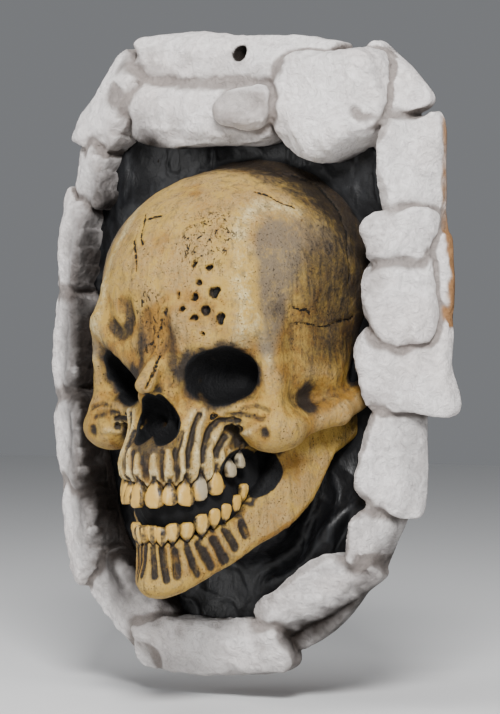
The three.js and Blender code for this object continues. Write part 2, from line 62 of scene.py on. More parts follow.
bl_info = {
    "name": "Skull Wall Plaque",
    "version": (1, 0, 0),
    "blender": (4, 5, 0),
    "location": "3D View > Sidebar > Plaque",
    "description": "Sculpts and paints a cast plaque with a skull in a ring of stones",
    "category": "Add Mesh",
}

NODE = "skull_plaque"
BODY = "root"
MM = 0.001


# Numbers and vectors
def smoothstep(low, high, value):
    t = np.clip((value - low) / (high - low), 0, 1)
    return t * t * (3 - 2 * t)


def fade(low, high, value):
    """1 up to low and 0 from high."""
    return 1 - smoothstep(low, high, value)


def mix(a, b, t):
    return a + (b - a) * t


def bell(value, width):
    """1 at 0 and nearly 0 two widths away."""
    return np.exp(-((value / width) ** 2))


def lattice(i, j, k, seed):
    """A number from -1 to 1 for each grid corner, the same on every run."""
    h = (i * 374761393 + j * 668265263 + k * 1442695041 + seed * 974634777) & 0xFFFFFFFF
    h = ((h ^ (h >> 13)) * 1274126177) & 0xFFFFFFFF
    return ((h ^ (h >> 16)) & 0xFFFF) / 32767.5 - 1


def noise(p, size, seed=0):
    """Smooth lumps about size millimetres apart, from -1 to 1."""
    cells, parts = [], []
    for axis in range(3):
        q = np.asarray(p[axis], np.float64) / size + 1000
        whole = np.floor(q)
        t = q - whole
        cells.append(whole.astype(np.int64))
        parts.append(t * t * (3 - 2 * t))
    total = 0
    for corner in range(8):
        a, b, c = corner & 1, corner >> 1 & 1, corner >> 2
        weight = 1
        for part, up in zip(parts, (a, b, c)):
            weight = weight * (part if up else 1 - part)
        total = total + weight * lattice(cells[0] + a, cells[1] + b, cells[2] + c, seed)
    return total


def lumps(p, size, seed=0, layers=3):
    """Several sizes of noise on each other, each half as large and half as high."""
    return sum(noise(p, size / 2**n, seed + n) / 2**n for n in range(layers))


# Fields, negative inside
def ellipsoid(p, centre, radii):
    far, steep = 0, 0
    for axis in range(3):
        q = (p[axis] - centre[axis]) / radii[axis]
        far = far + q * q
        steep = steep + (q / radii[axis]) ** 2
    far = np.sqrt(far)
    return far * (far - 1) / np.maximum(np.sqrt(steep), 1e-6)


def bar(p, start, end, start_radius, end_radius):
    """A rod with round ends, from one radius to another."""
    run = np.subtract(end, start)
    t = sum((p[axis] - start[axis]) * run[axis] for axis in range(3)) / (run @ run)
    t = np.clip(t, 0, 1)
    gap = [p[axis] - mix(start[axis], end[axis], t) for axis in range(3)]
    return np.sqrt(gap[0] ** 2 + gap[1] ** 2 + gap[2] ** 2) - mix(start_radius, end_radius, t)


def join(a, b, soft):
    h = np.maximum(soft - np.abs(a - b), 0) / soft
    return np.minimum(a, b) - h * h * soft / 4


def carve(a, b, soft):
    return -join(-a, b, soft)


def clip(a, b, soft):
    return -join(-a, -b, soft)


# The skull, on a canon 300 mm tall
SKULL_FOOT = 4
SKULL_BOX = ((-104, SKULL_FOOT, -168), (104, 162, 146))
# Each row of the jaw line: x, d, top z, bottom z, half thickness.
JAW_LINE = np.array(
    [
        (0, 137, -123, -164, 10),
        (13, 125, -122, -163, 10),
        (33, 96, -112, -146, 8.3),
        (45, 78, -87, -132, 8.3),
        (57, 63, -50, -122, 9.5),
        (65, 46, -38, -104, 9.5),
        (72, 28, -34, -72, 9.5),
        (78, 8, -32, -60, 9.5),
    ],
    float,
)


def jaw_wall(p):
    """A wall of bone that follows the jaw line from the chin back and up to the ear."""
    nearest = None
    for a, b in zip(JAW_LINE, JAW_LINE[1:]):
        run = b[:2] - a[:2]
        t = np.clip(((p[0] - a[0]) * run[0] + (p[1] - a[1]) * run[1]) / (run @ run), 0, 1)
        row = [mix(a[n], b[n], t) for n in range(5)]
        far = np.hypot(p[0] - row[0], p[1] - row[1])
        if nearest is None:
            nearest, top, bottom, thick = far, row[2], row[3], row[4]
            continue
        closer = far < nearest
        nearest = np.where(closer, far, nearest)
        top, bottom, thick = (np.where(closer, new, old) for new, old in zip(row[2:], (top, bottom, thick)))
    up_down = np.maximum(p[2] - (top - 5), bottom + 7 - p[2])
    return clip(nearest - thick, up_down - 5, 9)


def cranium(p):
    f = ellipsoid(p, (0, 20, 50), (97, 114, 84))
    f = join(f, ellipsoid(p, (0, 2, 66), (93, 38, 77)), 12)
    f = join(f, ellipsoid(p, (0, 74, 30), (72, 56, 48)), 26)
    f = join(f, ellipsoid(p, (0, 50, -9), (94, 64, 52)), 22)
    f = carve(f, ellipsoid(p, (116, 66, 4), (16, 36, 46)), 30)
    return carve(f, ellipsoid(p, (92, 70, -30), (15, 16, 12)), 8)


def brow(p, x):
    """The frowning ridge over the eyes, with a sharper and lower one at the left."""
    ridge = bar(p, (11, 123, 4), (58, 110, 23), 12, 10)
    outer_rim = bar(p, (67, 100, 16), (69, 98, -34), 8.5, 8)
    lower_rim = bar(p, (66, 101, -37), (26, 117, -38), 7.5, 7)
    left_frown = bar((x, p[1], p[2]), (-19, 127, -9), (-57, 115, 19), 7, 6)
    right_fold = bar((x, p[1], p[2]), (17, 129, 24), (21, 126, -6), 9, 7)
    f = join(join(ridge, outer_rim, 12), lower_rim, 10)
    return join(f, np.minimum(left_frown, right_fold), 5)


def nose_bridge(p):
    ridge = bar(p, (0, 120, 6), (0, 151, -20), 7.5, 6.5)
    roof = bar(p, (7, 119, 0), (9, 134, -27), 8, 6)
    root = ellipsoid(p, (0, 112, -18), (24, 26, 22))
    sides = ellipsoid(p, (0, 96, -46), (37, 42, 34))
    return join(join(join(ridge, roof, 8), root, 8), sides, 10)


def cheek(p):
    bone = ellipsoid(p, (66, 92, -50), (22, 21, 16))
    arch = bar(p, (72, 84, -48), (91, 48, -39), 10, 7.5)
    arch_end = bar(p, (91, 48, -39), (94, 0, -20), 7.5, 10)
    return join(join(bone, arch, 10), arch_end, 8)


def upper_jaw(p):
    muzzle = ellipsoid(p, (0, 90, -74), (43, 62, 36))
    gum = np.maximum(-104 - p[2] + np.abs(p[0]) * 0.35, 0)
    return np.maximum(muzzle, gum - 6)


def socket(p, x):
    """An eye socket under a slanting lid, which is steeper at the left."""
    left = x < 0
    tilted = (p[0], p[1], p[2] - (p[0] - 42) * np.where(left, 0.3, 0.12))
    lid = p[2] - np.where(left, -3, 6) - np.where(left, 0.58, 0.3) * (p[0] - 42)
    return clip(ellipsoid(tilted, (42, 128, -14), (22.5, 44, 18.5)), lid * 0.87, 4)


def nostrils(p):
    low = ellipsoid(p, (9, 146, -48), (8.5, 34, 12))
    high = ellipsoid(p, (3.5, 152, -40), (9.5, 34, 14))
    return join(low, high, 5)


def mouth_corner(p):
    return ellipsoid(p, (47, 90, -80), (15, 30, 16))


def bone_field(x, d, z):
    p = (np.abs(x), d, z)
    f = cranium(p)
    f = join(f, brow(p, x), 15)
    f = join(f, nose_bridge(p), 9)
    f = join(f, cheek(p), 10)
    f = join(f, upper_jaw(p), 12)
    f = carve(f, np.minimum(socket(p, x), nostrils(p)), 2.5)
    f = carve(f, mouth_corner(p), 6)
    f = join(f, jaw_wall(p), 4)
    f = join(f, ellipsoid(p, (0, 132, -152), (13, 15, 12)), 8)
    return clip(f, SKULL_FOOT - d, 2)


# Lines laid over the bone, in (x, d, z). Those of both sides are mirrored. Each has its width and its height.
STRANDS = (
    ([(7, 150, -85), (7, 151, -68)], 2, 1.2),
    ([(16, 145, -86), (16, 147, -64)], 2.2, 1.4),
    ([(23, 141, -83), (23, 141, -67), (22, 133, -50), (24, 128, -38)], 2.6, 1.7),
    ([(29, 133, -83), (30, 133, -67), (28, 127, -50), (30, 124, -38)], 2.4, 1.9),
    ([(35, 124, -82), (34, 124, -64), (35, 114, -51), (51, 110, -46)], 2.6, 2.2),
    ([(38, 114, -76), (38, 114, -63), (39, 104, -55), (59, 112, -52)], 2.2, 1.6),
    ([(58, 117, 48), (61, 120, 29), (71, 112, 16), (72, 109, -3)], 5, 1.6),
)
FURROWS = (
    ([(2, 151, -86), (2, 151, -68)], 1.7, 1.8),
    ([(12, 147, -87), (12, 148, -65)], 1.8, 2),
    ([(20, 143, -86), (20, 143, -65), (20, 136, -52)], 2.0, 2.2),
    ([(26, 137, -85), (26, 137, -65), (25, 129, -49), (28, 126, -40)], 1.9, 2.3),
    ([(32, 129, -83), (32, 128, -65), (32, 121, -51), (38, 117, -44), (51, 111, -44)], 2.0, 2.4),
    ([(38, 119, -82), (37, 119, -65), (38, 110, -55), (50, 111, -49)], 2.1, 2.5),
    ([(45, 110, -38), (57, 112, -35), (63, 111, -33), (73, 110, -37)], 1.7, 1.3),
    ([(45, 117, -40), (56, 113, -40), (69, 112, -43)], 1.9, 1.3),
)
# Slanting furrows below the lower teeth, from the top of each to its foot.
CHIN_FURROWS = (
    ([(3, 146, -130), (6, 148, -149)], 2.0),
    ([(9, 143, -131), (14, 144, -152)], 2.1),
    ([(15, 137, -132), (19, 138, -149)], 2.2),
    ([(21, 131, -131), (26, 124, -149)], 2.6),
    ([(26, 124, -128), (32, 116, -144)], 3.0),
    ([(33, 115, -125), (38, 107, -141)], 3.0),
    ([(38, 108, -118), (42, 101, -131)], 2.6),
    ([(44, 100, -110), (47, 95, -123)], 2.4),
)
# Pits in the forehead: middle, half width and half height.
PITS = (
    (26, 131, 61, 1.5, 2.1),
    (37, 127, 60, 2.5, 1.9),
    (32, 131, 50, 2.3, 2.2),
    (41, 128, 43, 3.2, 3.7),
    (18, 136, 41, 1.1, 2.6),
    (29, 133, 39, 2.4, 3.1),
    (21, 135, 32, 1.7, 1.6),
    (8, 137, 30, 1.1, 2.8),
    (29, 132, 26, 2.2, 2.6),
    (36, 130, 30, 2.5, 3.1),
    (45, 127, 25, 2.5, 5),
    (33, 131, 15, 1.2, 0.9),
)
CRACKS = (
    [(29, 33, 130), (43, 28, 128), (52, 24, 124), (61, 22, 119), (72, 24, 109), (80, 25, 99), (88, 31, 84)],
    [(88, 31, 84), (91, 37, 76), (93, 38, 69), (94, 37, 60), (95, 38, 50)],
    [(18, 33, 133), (29, 36, 129), (40, 35, 126)],
    [(-28, 34, 128), (-52, 26, 122), (-72, 26, 107), (-88, 33, 82), (-94, 38, 60)],
    [(79, 88, 21), (83, 73, 22), (86, 58, 21), (89, 42, 23), (92, 29, 26)],
    [(79, 88, 33), (84, 74, 30)],
    [(4, 139, 0), (6, 149, -11), (4, 156, -24)],
    [(7, 133, -8), (12, 133, -14), (11, 134, -22), (13, 131, -30)],
    [(-30, 107, 98), (-24, 115, 90), (-24, 120, 85), (-18, 127, 76)],
    [(-29, 122, 80), (-21, 130, 68), (-19, 133, 57)],
    [(-24, 113, 94), (-12, 114, 96)],
    [(42, 78, 113), (50, 74, 111), (59, 70, 105), (66, 65, 102)],
    [(4, 136, 26), (1, 137, 12)],
    [(-3, 136, 20), (-5, 137, 8)],
)
FROWN = ([(-9, 136, 30), (-5, 138, 4)], [(9, 136, 26), (6, 139, 2)])
FROWN_WIDTH = 3.5
BROW_DENT = [(-29, 133, 35), (-26, 133, 26), (-28, 132, 18), (-35, 129, 15), (-43, 127, 20)]
BROW_DENT_WIDTH = 6
# Hollows that both sides have, each with its width.
HOLLOWS = {
    "temple": ([(72, 100, 45), (76, 96, 25), (78, 90, 5)], 13),
    "dimple": ([(71, 112, -53), (71, 113, -52)], 4),
    "holes": ([(37, 122, -43), (37, 122, -42)], 1.6),
}
# How far each kind of mark lifts the bone or, where negative, cuts into it.
MARK_HEIGHTS = {
    "strands": 1.2,
    "gums": 0.7,
    "furrows": -1.1,
    "chin": -1.9,
    "frown": -1.6,
    "pits": -4.5,
    "cracks": -1.1,
    "dent": -4.6,
    "temple": -2.4,
    "dimple": -2,
    "holes": -3,
    "outlines": -0.8,
}

# Teeth of one side, from the middle back: angle on the arch, z of the root, z of the tip and width.
UPPER_TEETH = (
    (0.17, -83.5, -103, 14),
    (0.42, -85, -101, 11.4),
    (0.65, -83, -101.5, 13.4),
    (0.86, -79.5, -98, 11.6),
    (1.09, -76.5, -94.5, 12.4),
    (1.32, -70, -83, 9.6),
    (1.49, -64.5, -77, 7.6),
)
LOWER_TEETH = (
    (0.13, -128, -115, 9.6),
    (0.29, -129.5, -116, 10.6),
    (0.46, -128, -113.5, 11.4),
    (0.65, -126.5, -113, 11.4),
    (0.84, -123.5, -107.5, 11.8),
    (0.99, -118, -104, 10.2),
    (1.14, -114, -101, 10.2),
    (1.3, -108.5, -95.5, 9),
    (1.43, -101, -88, 8),
)
# The curve of each row, how round it is (2 for an ellipse), and the angle where its left side ends.
UPPER_ARCH = {"half_width": 42, "back": 90, "reach": 61.5, "power": 2, "left_end": 1.6}
LOWER_ARCH = {"half_width": 41, "back": 82, "reach": 66, "power": 1.7, "left_end": 0.52}
TOOTH_DEPTH = 8
# How wide a tooth is, from its pointed root at 0 to its blunt tip at 1.
TOOTH_SHAPE = ((0, 0.12, 0.3, 0.5, 0.72, 0.9, 1), (0.06, 0.32, 0.66, 0.92, 1, 0.86, 0.45))
TOOTH_SIDES = 32
TOOTH_LEVELS = 28
# Where the grey teeth stand.
GREY_TEETH = ((31, 128, -89), (40, 104, -77), (41, 95, -71))
# How deep a line may lie under the surface, and how far the cracks are measured.
LINE_SINK = 7
CRACK_REACH = 6


def on_arch(arch, angle):
    """A point (x, d) on the face of a row of teeth and the way (x, d) that it faces."""
    side = math.copysign(1, angle)
    across, ahead = math.sin(abs(angle)) ** (2 / arch["power"]), math.cos(angle) ** (2 / arch["power"])
    point = np.array([side * arch["half_width"] * across, arch["back"] + arch["reach"] * ahead])
    steep = arch["power"] - 1
    facing = np.array([side * across**steep / arch["half_width"], ahead**steep / arch["reach"]])
    return point, facing / np.linalg.norm(facing)


def teeth_of(rows, arch):
    """Each tooth's middle, the way it faces, its width, and z of its root and its tip, on both sides."""
    for side in (-1, 1):
        for angle, root, tip, width in rows:
            if side > 0 or angle < arch["left_end"]:
                point, facing = on_arch(arch, side * angle)
                yield point, facing, width, root, tip


def distance(points, normals, line, reach):
    """How far points are beside a line laid over the surface, up to a reach."""
    line = np.array(line, float)
    box = reach + LINE_SINK
    near = ((points > line.min(0) - box) & (points < line.max(0) + box)).all(1)
    p, n = points[near], normals[near]
    nearest = np.full(len(p), float(reach) ** 2)
    for start, end in zip(line, line[1:]):
        run = end - start
        t = np.clip((p - start) @ run / (run @ run), 0, 1)
        gap = p - start - t[:, None] * run
        rise = (gap * n).sum(1)
        beside = (gap**2).sum(1) - rise**2 + np.maximum(np.abs(rise) - LINE_SINK, 0) ** 2
        nearest = np.minimum(nearest, beside)
    far = np.full(len(points), float(reach))
    far[near] = np.sqrt(np.maximum(nearest, 0))
    return far


def along(points, normals, line, width):
    """1 on a line laid over the surface and nearly 0 two widths beside it."""
    return bell(distance(points, normals, line, 3 * width), width)


class Marks:
    """What is cut and painted on the bone at some points, from 0 to 1 for each kind of mark."""

    def __init__(self, points, normals):
        self.p = p = tuple(points.T)
        side = np.where(points[:, :1] < 0, -1, 1) * [1, 0, 0] + [0, 1, 1]
        both, both_normals = points * side, normals * side
        wavy = points + 1.3 * np.stack([lumps(p, 7, seed, 2) for seed in (11, 12, 13)], 1)
        self.strands = sum(h * along(both, both_normals, line, w) for line, w, h in STRANDS)
        self.furrows = sum(h * along(both, both_normals, line, w) for line, w, h in FURROWS)
        self.chin = 0
        for line, width in CHIN_FURROWS:
            self.chin = np.maximum(self.chin, along(both, both_normals, line, width))
        self.crack_distance = CRACK_REACH
        for line in CRACKS:
            self.crack_distance = np.minimum(self.crack_distance, distance(wavy, normals, line, CRACK_REACH))
        self.cracks = bell(self.crack_distance, 1)
        self.pits = 0
        ragged = points + 1.5 * np.stack([noise(p, 4.5, seed) for seed in (14, 15, 16)], 1)
        for x, d, z, half_width, half_height in PITS:
            far = np.hypot((ragged[:, 0] - x) / half_width, (ragged[:, 2] - z) / half_height)
            self.pits = np.maximum(self.pits, fade(0.6, 1.2, far) * (points[:, 1] > d - 12))
        self.frown = sum(along(wavy, normals, line, FROWN_WIDTH) for line in FROWN)
        self.dent = along(points, normals, BROW_DENT, BROW_DENT_WIDTH)
        for name, (line, width) in HOLLOWS.items():
            setattr(self, name, along(both, both_normals, line, width))
        self.outlines, self.gums = 0, 0
        for rows, arch in ((UPPER_TEETH, UPPER_ARCH), (LOWER_TEETH, LOWER_ARCH)):
            for point, facing, width, root, tip in teeth_of(rows, arch):
                across = (p[0] - point[0]) * facing[1] - (p[1] - point[1]) * facing[0]
                out = (p[0] - point[0]) * facing[0] + (p[1] - point[1]) * facing[1]
                level = (p[2] - root) / (tip - root)
                half = np.interp(level, TOOTH_SHAPE[0], TOOTH_SHAPE[1]) * width / 2
                beside = np.maximum(np.abs(across) - half, -level * abs(tip - root) * 0.5)
                near = (np.abs(out) < 12) * (level < 1.1)
                gum = bell(beside - 2.5, 0.9) * near * (level < 0.6) * (root > -95)
                self.outlines = np.maximum(self.outlines, bell(beside - 0.4, 1.2) * near)
                self.gums = np.maximum(self.gums, gum)
        self.gums = self.gums * (1 - self.outlines)
        both_p = tuple(both.T)
        self.socket, self.nostril = socket(both_p, p[0]), nostrils(both_p)
        self.corner = mouth_corner(both_p)

    def relief(self):
        """How far the marks raise the surface, in millimetres."""
        marked = sum(height * getattr(self, name) for name, height in MARK_HEIGHTS.items())
        rough = 0.7 * lumps(self.p, 16, 31, 2) + 0.22 * lumps(self.p, 4, 35, 2)
        grain = 0.5 * np.maximum(noise(self.p, 3, 41) - 0.35, 0) * bell(self.frown_distance(), 1)
        return marked + rough - grain

    def frown_distance(self):
        """How far from the porous stretch of the forehead, in shares of its size."""
        x, d, z = self.p
        frown = np.hypot((x + 8) / 18, (z - 22) / 26)
        crown = np.hypot((x - 30) / 18, (z - 78) / 22)
        return np.minimum(frown, crown)


# The stones around the hole, clockwise from the nail hole. Each row: x and z of the middle of its edge at the
# hole, x and z of the middle of its edge at the rim, half its length, and its height at either edge.
STONES = {
    "top_band": (-14, 193, -12, 227, 74, 38, 28),
    "top_slab": (-30, 154, -28, 199, 62, 48, 36),
    "lump": (14, 161, 17, 187, 20, 62, 54),
    "big_boulder": (80, 144, 68, 210, 38, 54, 44),
    "top_right": (97, 175, 121, 199, 25, 42, 12),
    "right_high": (117, 128, 147, 128, 33, 46, 14),
    "right_round": (113, 82, 146, 79, 20, 54, 26),
    "right_back": (132, 55, 154, 55, 24, 22, 9),
    "right_long": (110, 37, 146, 39, 27, 50, 28),
    "right_outer": (106, -9, 154, -3, 31, 48, 15),
    "right_low": (105, -72, 133, -73, 34, 45, 12),
    "low_round": (94, -123, 110, -130, 20, 45, 14),
    "low_diagonal": (46, -157, 61, -182, 43, 42, 15),
    "bottom": (-34, -191, -33, -227, 57, 38, 21),
    "low_left": (-82, -164, -114, -198, 36, 38, 21),
    "left_low": (-124, -129, -161, -133, 31, 40, 20),
    "left_middle": (-135, -63, -167, -66, 35, 40, 20),
    "left_high": (-139, 10, -170, 10, 35, 40, 20),
    "left_upper": (-136, 80, -166, 83, 33, 40, 20),
    "shoulder": (-118, 134, -150, 136, 24, 42, 20),
    "top_left": (-99, 169, -131, 194, 33, 44, 24),
}
STONE_OVERLAP = 1.17
STONE_SPREAD = 0.1
OUTLINE_POWER = 6
ROUND_STONES = ("lump", "big_boulder", "right_round")
ROUND_POWER = 2.8
DOME_POWER = 8
FACETS = 5
FACET_SLOPE = 0.5
FACET_CUT = 0.18
FACET_VARIES = 0.07
LEDGE_HEIGHT = 13
LEDGE_DEPTH = 2.2
CREASE_DEPTH = 1.6
HOLE_AT = (0, 215)
HOLE_RADIUS = 5.5
STONE_BOX = ((-182, 0, -246), (170, 70, 242))
FAR = 30
PLATE = 8


def outline_radius(angle, first, power):
    c, s = np.abs(np.cos(angle)), np.abs(np.sin(angle))
    square = (c**power + s**power) ** (-1 / power)
    return square * (0.97 + 0.05 * np.sin(3 * angle + first * 2.3) + 0.04 * np.sin(5 * angle + first * 4.1))


def stone(p, name, first):
    row, power = STONES[name], ROUND_POWER if name in ROUND_STONES else OUTLINE_POWER
    x_in, z_in, x_out, z_out, half_length, height_in, height_out = row
    out = np.array([x_out - x_in, z_out - z_in]) / 2
    half_width = math.hypot(*out)
    out_step = out / half_width
    dx, dz = p[0] - (x_in + x_out) / 2, p[2] - (z_in + z_out) / 2
    a = (dx * out_step[0] + dz * out_step[1]) / half_width
    b = (dx * out_step[1] - dz * out_step[0]) / half_length / (1 + STONE_SPREAD * np.clip(a, -1.5, 1.5))
    share = np.hypot(a, b) / (outline_radius(np.arctan2(b, a), first, power) * STONE_OVERLAP)
    top = mix(height_in, height_out, np.clip((a + 1) / 2, -0.2, 1.2))
    top = top * (1 + 0.05 * np.sin(3 * a + 2 * b + first))
    high = np.maximum(p[1] / top, 0)
    dome = (share**DOME_POWER + high**DOME_POWER) ** (1 / DOME_POWER)
    for n in range(FACETS):
        turn = 2 * math.pi * n / FACETS + first * 1.7
        toward = (a * math.cos(turn) + b * math.sin(turn)) / STONE_OVERLAP
        cut = FACET_CUT + FACET_VARIES * math.sin(first * 5.3 + n * 2.9)
        dome = np.maximum(dome, toward * FACET_SLOPE + high * (1 - 0.38 * FACET_SLOPE) - cut)
    return (dome - 1) * min(half_width, half_length, (height_in + height_out) / 2)


def wavy_place(x, d, z):
    here = (x, d, z)
    return x + 2.5 * noise(here, 38, 3), d + 2 * noise(here, 30, 5), z + 2.5 * noise(here, 34, 7)


def crease_distance(x, d, z):
    """How far a point on one stone is from the next stone."""
    p = wavy_place(x, d, z)
    first = second = np.full(np.shape(x), float(FAR))
    for number, name in enumerate(STONES, start=1):
        f = stone(p, name, number)
        second = np.minimum(second, np.maximum(first, f))
        first = np.minimum(first, f)
    return np.maximum(second, 0)


def stone_field(x, d, z):
    p = wavy_place(x, d, z)
    low, high = (x.min(), z.min()), (x.max(), z.max())
    f = np.full(np.shape(x), float(FAR))
    for first, (name, row) in enumerate(STONES.items(), start=1):
        middle = (row[0] + row[2]) / 2, (row[1] + row[3]) / 2
        reach = row[4] * 1.5 + FAR
        if all(low[n] - reach < middle[n] < high[n] + reach for n in (0, 1)):
            f = join(f, stone(p, name, first), 2)
    edge = mix(1.1, 1.25, smoothstep(20, 90, z))
    plate = clip((hollow_share(x, z) - edge) * HOLLOW["half_width"], d - PLATE, 1)
    f = carve(join(f, plate, 1), np.hypot(x - HOLE_AT[0], z - HOLE_AT[1]) - HOLE_RADIUS, 1.5)
    return clip(f, -d, 1)


def stone_relief(points, normals):
    """Wrinkled plaster, with ledges like bricks on the inner walls."""
    x, d, z = p = tuple(points.T)
    folds = 0.9 - 2 * np.abs(noise(p, 15, 51)) + 0.6 - np.abs(noise(p, 8, 52))
    rough = 0.8 * folds + 0.4 * lumps(p, 4.5, 53, 2)
    wall = smoothstep(0.25, 0.6, normals[:, 0]) * smoothstep(-60, -90, x)
    course = (z + 6 * noise(p, 40, 57)) / LEDGE_HEIGHT
    ledge = np.minimum(course % 1 * 1.4, 1) - 0.5
    front = smoothstep(1, 4, d)
    crease = CREASE_DEPTH * bell(crease_distance(x, d, z), 2.2)
    return (rough + wall * ledge * LEDGE_DEPTH - crease) * front


# The black hollow
FLOOR = 13
HOLLOW = {"middle": -9, "half_width": 122, "top": 158, "bottom": 196, "power": 2.4}
HOLLOW_BOX = ((-142, 3, -200), (134, 144, 186))
HOLLOW_SEAM = [(-35, 14, 158), (-35, 14, 128)]


def hollow_share(x, z):
    """0 in the middle of the hollow and 1 at its edge."""
    across = np.abs(x - HOLLOW["middle"]) / HOLLOW["half_width"]
    upright = np.abs(z) / np.where(z > 0, HOLLOW["top"], HOLLOW["bottom"])
    return (across ** HOLLOW["power"] + upright ** HOLLOW["power"]) ** (1 / HOLLOW["power"])


def floor_height(x, z):
    folds = 3.5 * np.sin(x / 13 + z / 29) + 2.5 * np.sin(z / 17 - x / 37)
    low_right = smoothstep(20, 95, x) * smoothstep(-60, -150, z)
    share = hollow_share(x, z)
    slack = smoothstep(0, 25, x) * smoothstep(-100, -125, z)
    lip = bell(share - 0.84, 0.035) * 7 - smoothstep(0.87, 0.91, share) * 9
    return FLOOR + folds * 0.6 + 16 * low_right + lip * slack


def black_field(x, d, z):
    p = (np.abs(x), d, z)
    ground = (d - floor_height(x, z)) * 0.9
    f = join(ground, ellipsoid(p, (0, 24, -84), (56, 72, 60)), 14)
    f = join(f, ellipsoid(p, (0, 94, -100), (37, 47, 32)), 6)
    edge = mix(1.0, 1.2, smoothstep(20, 90, z))
    f = clip(f, (hollow_share(x, z) - edge) * HOLLOW["half_width"], 2)
    return clip(f, 4 - d, 1)


def black_relief(points, normals):
    """Creases and wrinkles of a slack skin."""
    p = tuple(points.T)
    bent = (p[0] + 5 * noise(p, 17, 61), p[1], p[2] * 0.55 + 4 * noise(p, 15, 62))
    creases = 1 - np.abs(noise(bent, 13, 63)) * 2
    seam = along(points, normals, HOLLOW_SEAM, 1.6)
    return 1.2 * noise(p, 19, 64) + 1.3 * np.maximum(creases, 0) ** 3 + 0.3 * lumps(p, 5, 65, 2) - 1.6 * seam


# Skinning
CORNERS = np.array([(n & 1, n >> 1 & 1, n >> 2) for n in range(8)])
EDGES = [(a, b) for a in range(8) for b in range(a + 1, 8) if bin(a ^ b).count("1") == 1]


def skin(values, low, step):
    """Points and four-sided faces where the grid values change sign, in (x, d, z)."""
    inside = values < 0
    reach = [n - 1 for n in values.shape]
    count = np.zeros(reach, np.int8)
    for a, b, c in CORNERS:
        count += inside[a : reach[0] + a, b : reach[1] + b, c : reach[2] + c]
    cells = np.argwhere((count > 0) & (count < 8))
    at_corner = [values[tuple((cells + corner).T)] for corner in CORNERS]
    total, hits = np.zeros((len(cells), 3)), np.zeros(len(cells))
    for a, b in EDGES:
        crossed = (at_corner[a] < 0) != (at_corner[b] < 0)
        t = at_corner[a] / np.where(crossed, at_corner[a] - at_corner[b], 1)
        point = CORNERS[a] + t[:, None] * (CORNERS[b] - CORNERS[a])
        total += np.where(crossed[:, None], point, 0)
        hits += crossed
    points = np.asarray(low) + step * (cells + total / hits[:, None])
    index = np.full(reach, -1, np.int32)
    index[tuple(cells.T)] = np.arange(len(cells))
    faces = []
    for axis in range(3):
        order = (axis, (axis + 1) % 3, (axis + 2) % 3)
        here, cell = np.transpose(inside, order), np.transpose(index, order)
        change = np.argwhere(here[:-1, 1:-1, 1:-1] != here[1:, 1:-1, 1:-1])
        i, j, k = change[:, 0], change[:, 1] + 1, change[:, 2] + 1
        quads = np.stack([cell[i, j, k], cell[i, j, k - 1], cell[i, j - 1, k - 1], cell[i, j - 1, k]], 1)
        outside = ~here[i, j, k]
        quads[outside] = quads[outside][:, ::-1]
        faces.append(quads)
    return points, np.concatenate(faces)


BLOCK = 40


def sculpt(field, low, high, step):
    """The skin of a field inside a box, with its points moved onto the surface."""
    axes = [np.arange(a - 2 * step, b + 3 * step, step) for a, b in zip(low, high)]
    grid = np.empty([len(axis) for axis in axes])
    for i in range(0, len(axes[0]), BLOCK):
        for k in range(0, len(axes[2]), BLOCK):
            block = np.meshgrid(axes[0][i : i + BLOCK], axes[1], axes[2][k : k + BLOCK], indexing="ij")
            grid[i : i + BLOCK, :, k : k + BLOCK] = field(*block)
    points, faces = skin(grid, [axis[0] for axis in axes], step)
    for _ in range(2):
        slope = gradient(field, points, step / 4)
        size2 = np.maximum((slope**2).sum(1), 0.05)
        move = -(field(*points.T) / size2)[:, None] * slope
        length = np.linalg.norm(move, axis=1, keepdims=True)
        points = points + move * np.minimum(1, step * 0.6 / np.maximum(length, 1e-9))
    return points, faces


def gradient(field, points, step):
    slope = []
    for axis in range(3):
        shift = np.zeros(3)
        shift[axis] = step
        slope.append((field(*(points + shift).T) - field(*(points - shift).T)) / (2 * step))
    return np.stack(slope, 1)


def outward(points, faces):
    """Unit normals at the points, in (x, d, z)."""
    a, b, c, d = (points[faces[:, n]] for n in range(4))
    across = -np.cross(c - a, d - b)
    total = np.zeros_like(points)
    for n in range(4):
        for axis in range(3):
            total[:, axis] += np.bincount(faces[:, n], across[:, axis], len(points))
    return total / np.maximum(np.linalg.norm(total, axis=1, keepdims=True), 1e-9)


def displaced(points, faces, relief):
    normals = outward(points, faces)
    return points + normals * relief(points, normals)[:, None]


def shelter(field, points, normals, reach):
    """How much the form around a point shades it: 0 in the open and 1 deep in a hollow."""
    total, weights = 0, 0
    for n in range(1, 6):
        far = reach * n / 5
        weight = 1 / n
        free = field(*(points + normals * far).T)
        total = total + weight * np.clip(1 - free / far, 0, 2)
        weights += weight
    return np.clip(total / weights, 0, 1)


def paint_points(mesh, masks):
    """Keeps each paint mask, worked out from the points and their normals, on the mesh."""
    count = len(mesh.vertices)
    place, normals = np.empty(count * 3, np.float32), np.empty(count * 3, np.float32)
    mesh.vertices.foreach_get("co", place)
    mesh.vertex_normals.foreach_get("vector", normals)
    turned = [a.reshape(-1, 3) * (1, -1, 1) for a in (place / MM, normals)]
    for name, values in masks(*turned).items():
        values = np.clip(values, 0, 1).astype(np.float32)
        mesh.attributes.new(name, "FLOAT", "POINT").data.foreach_set("value", values)


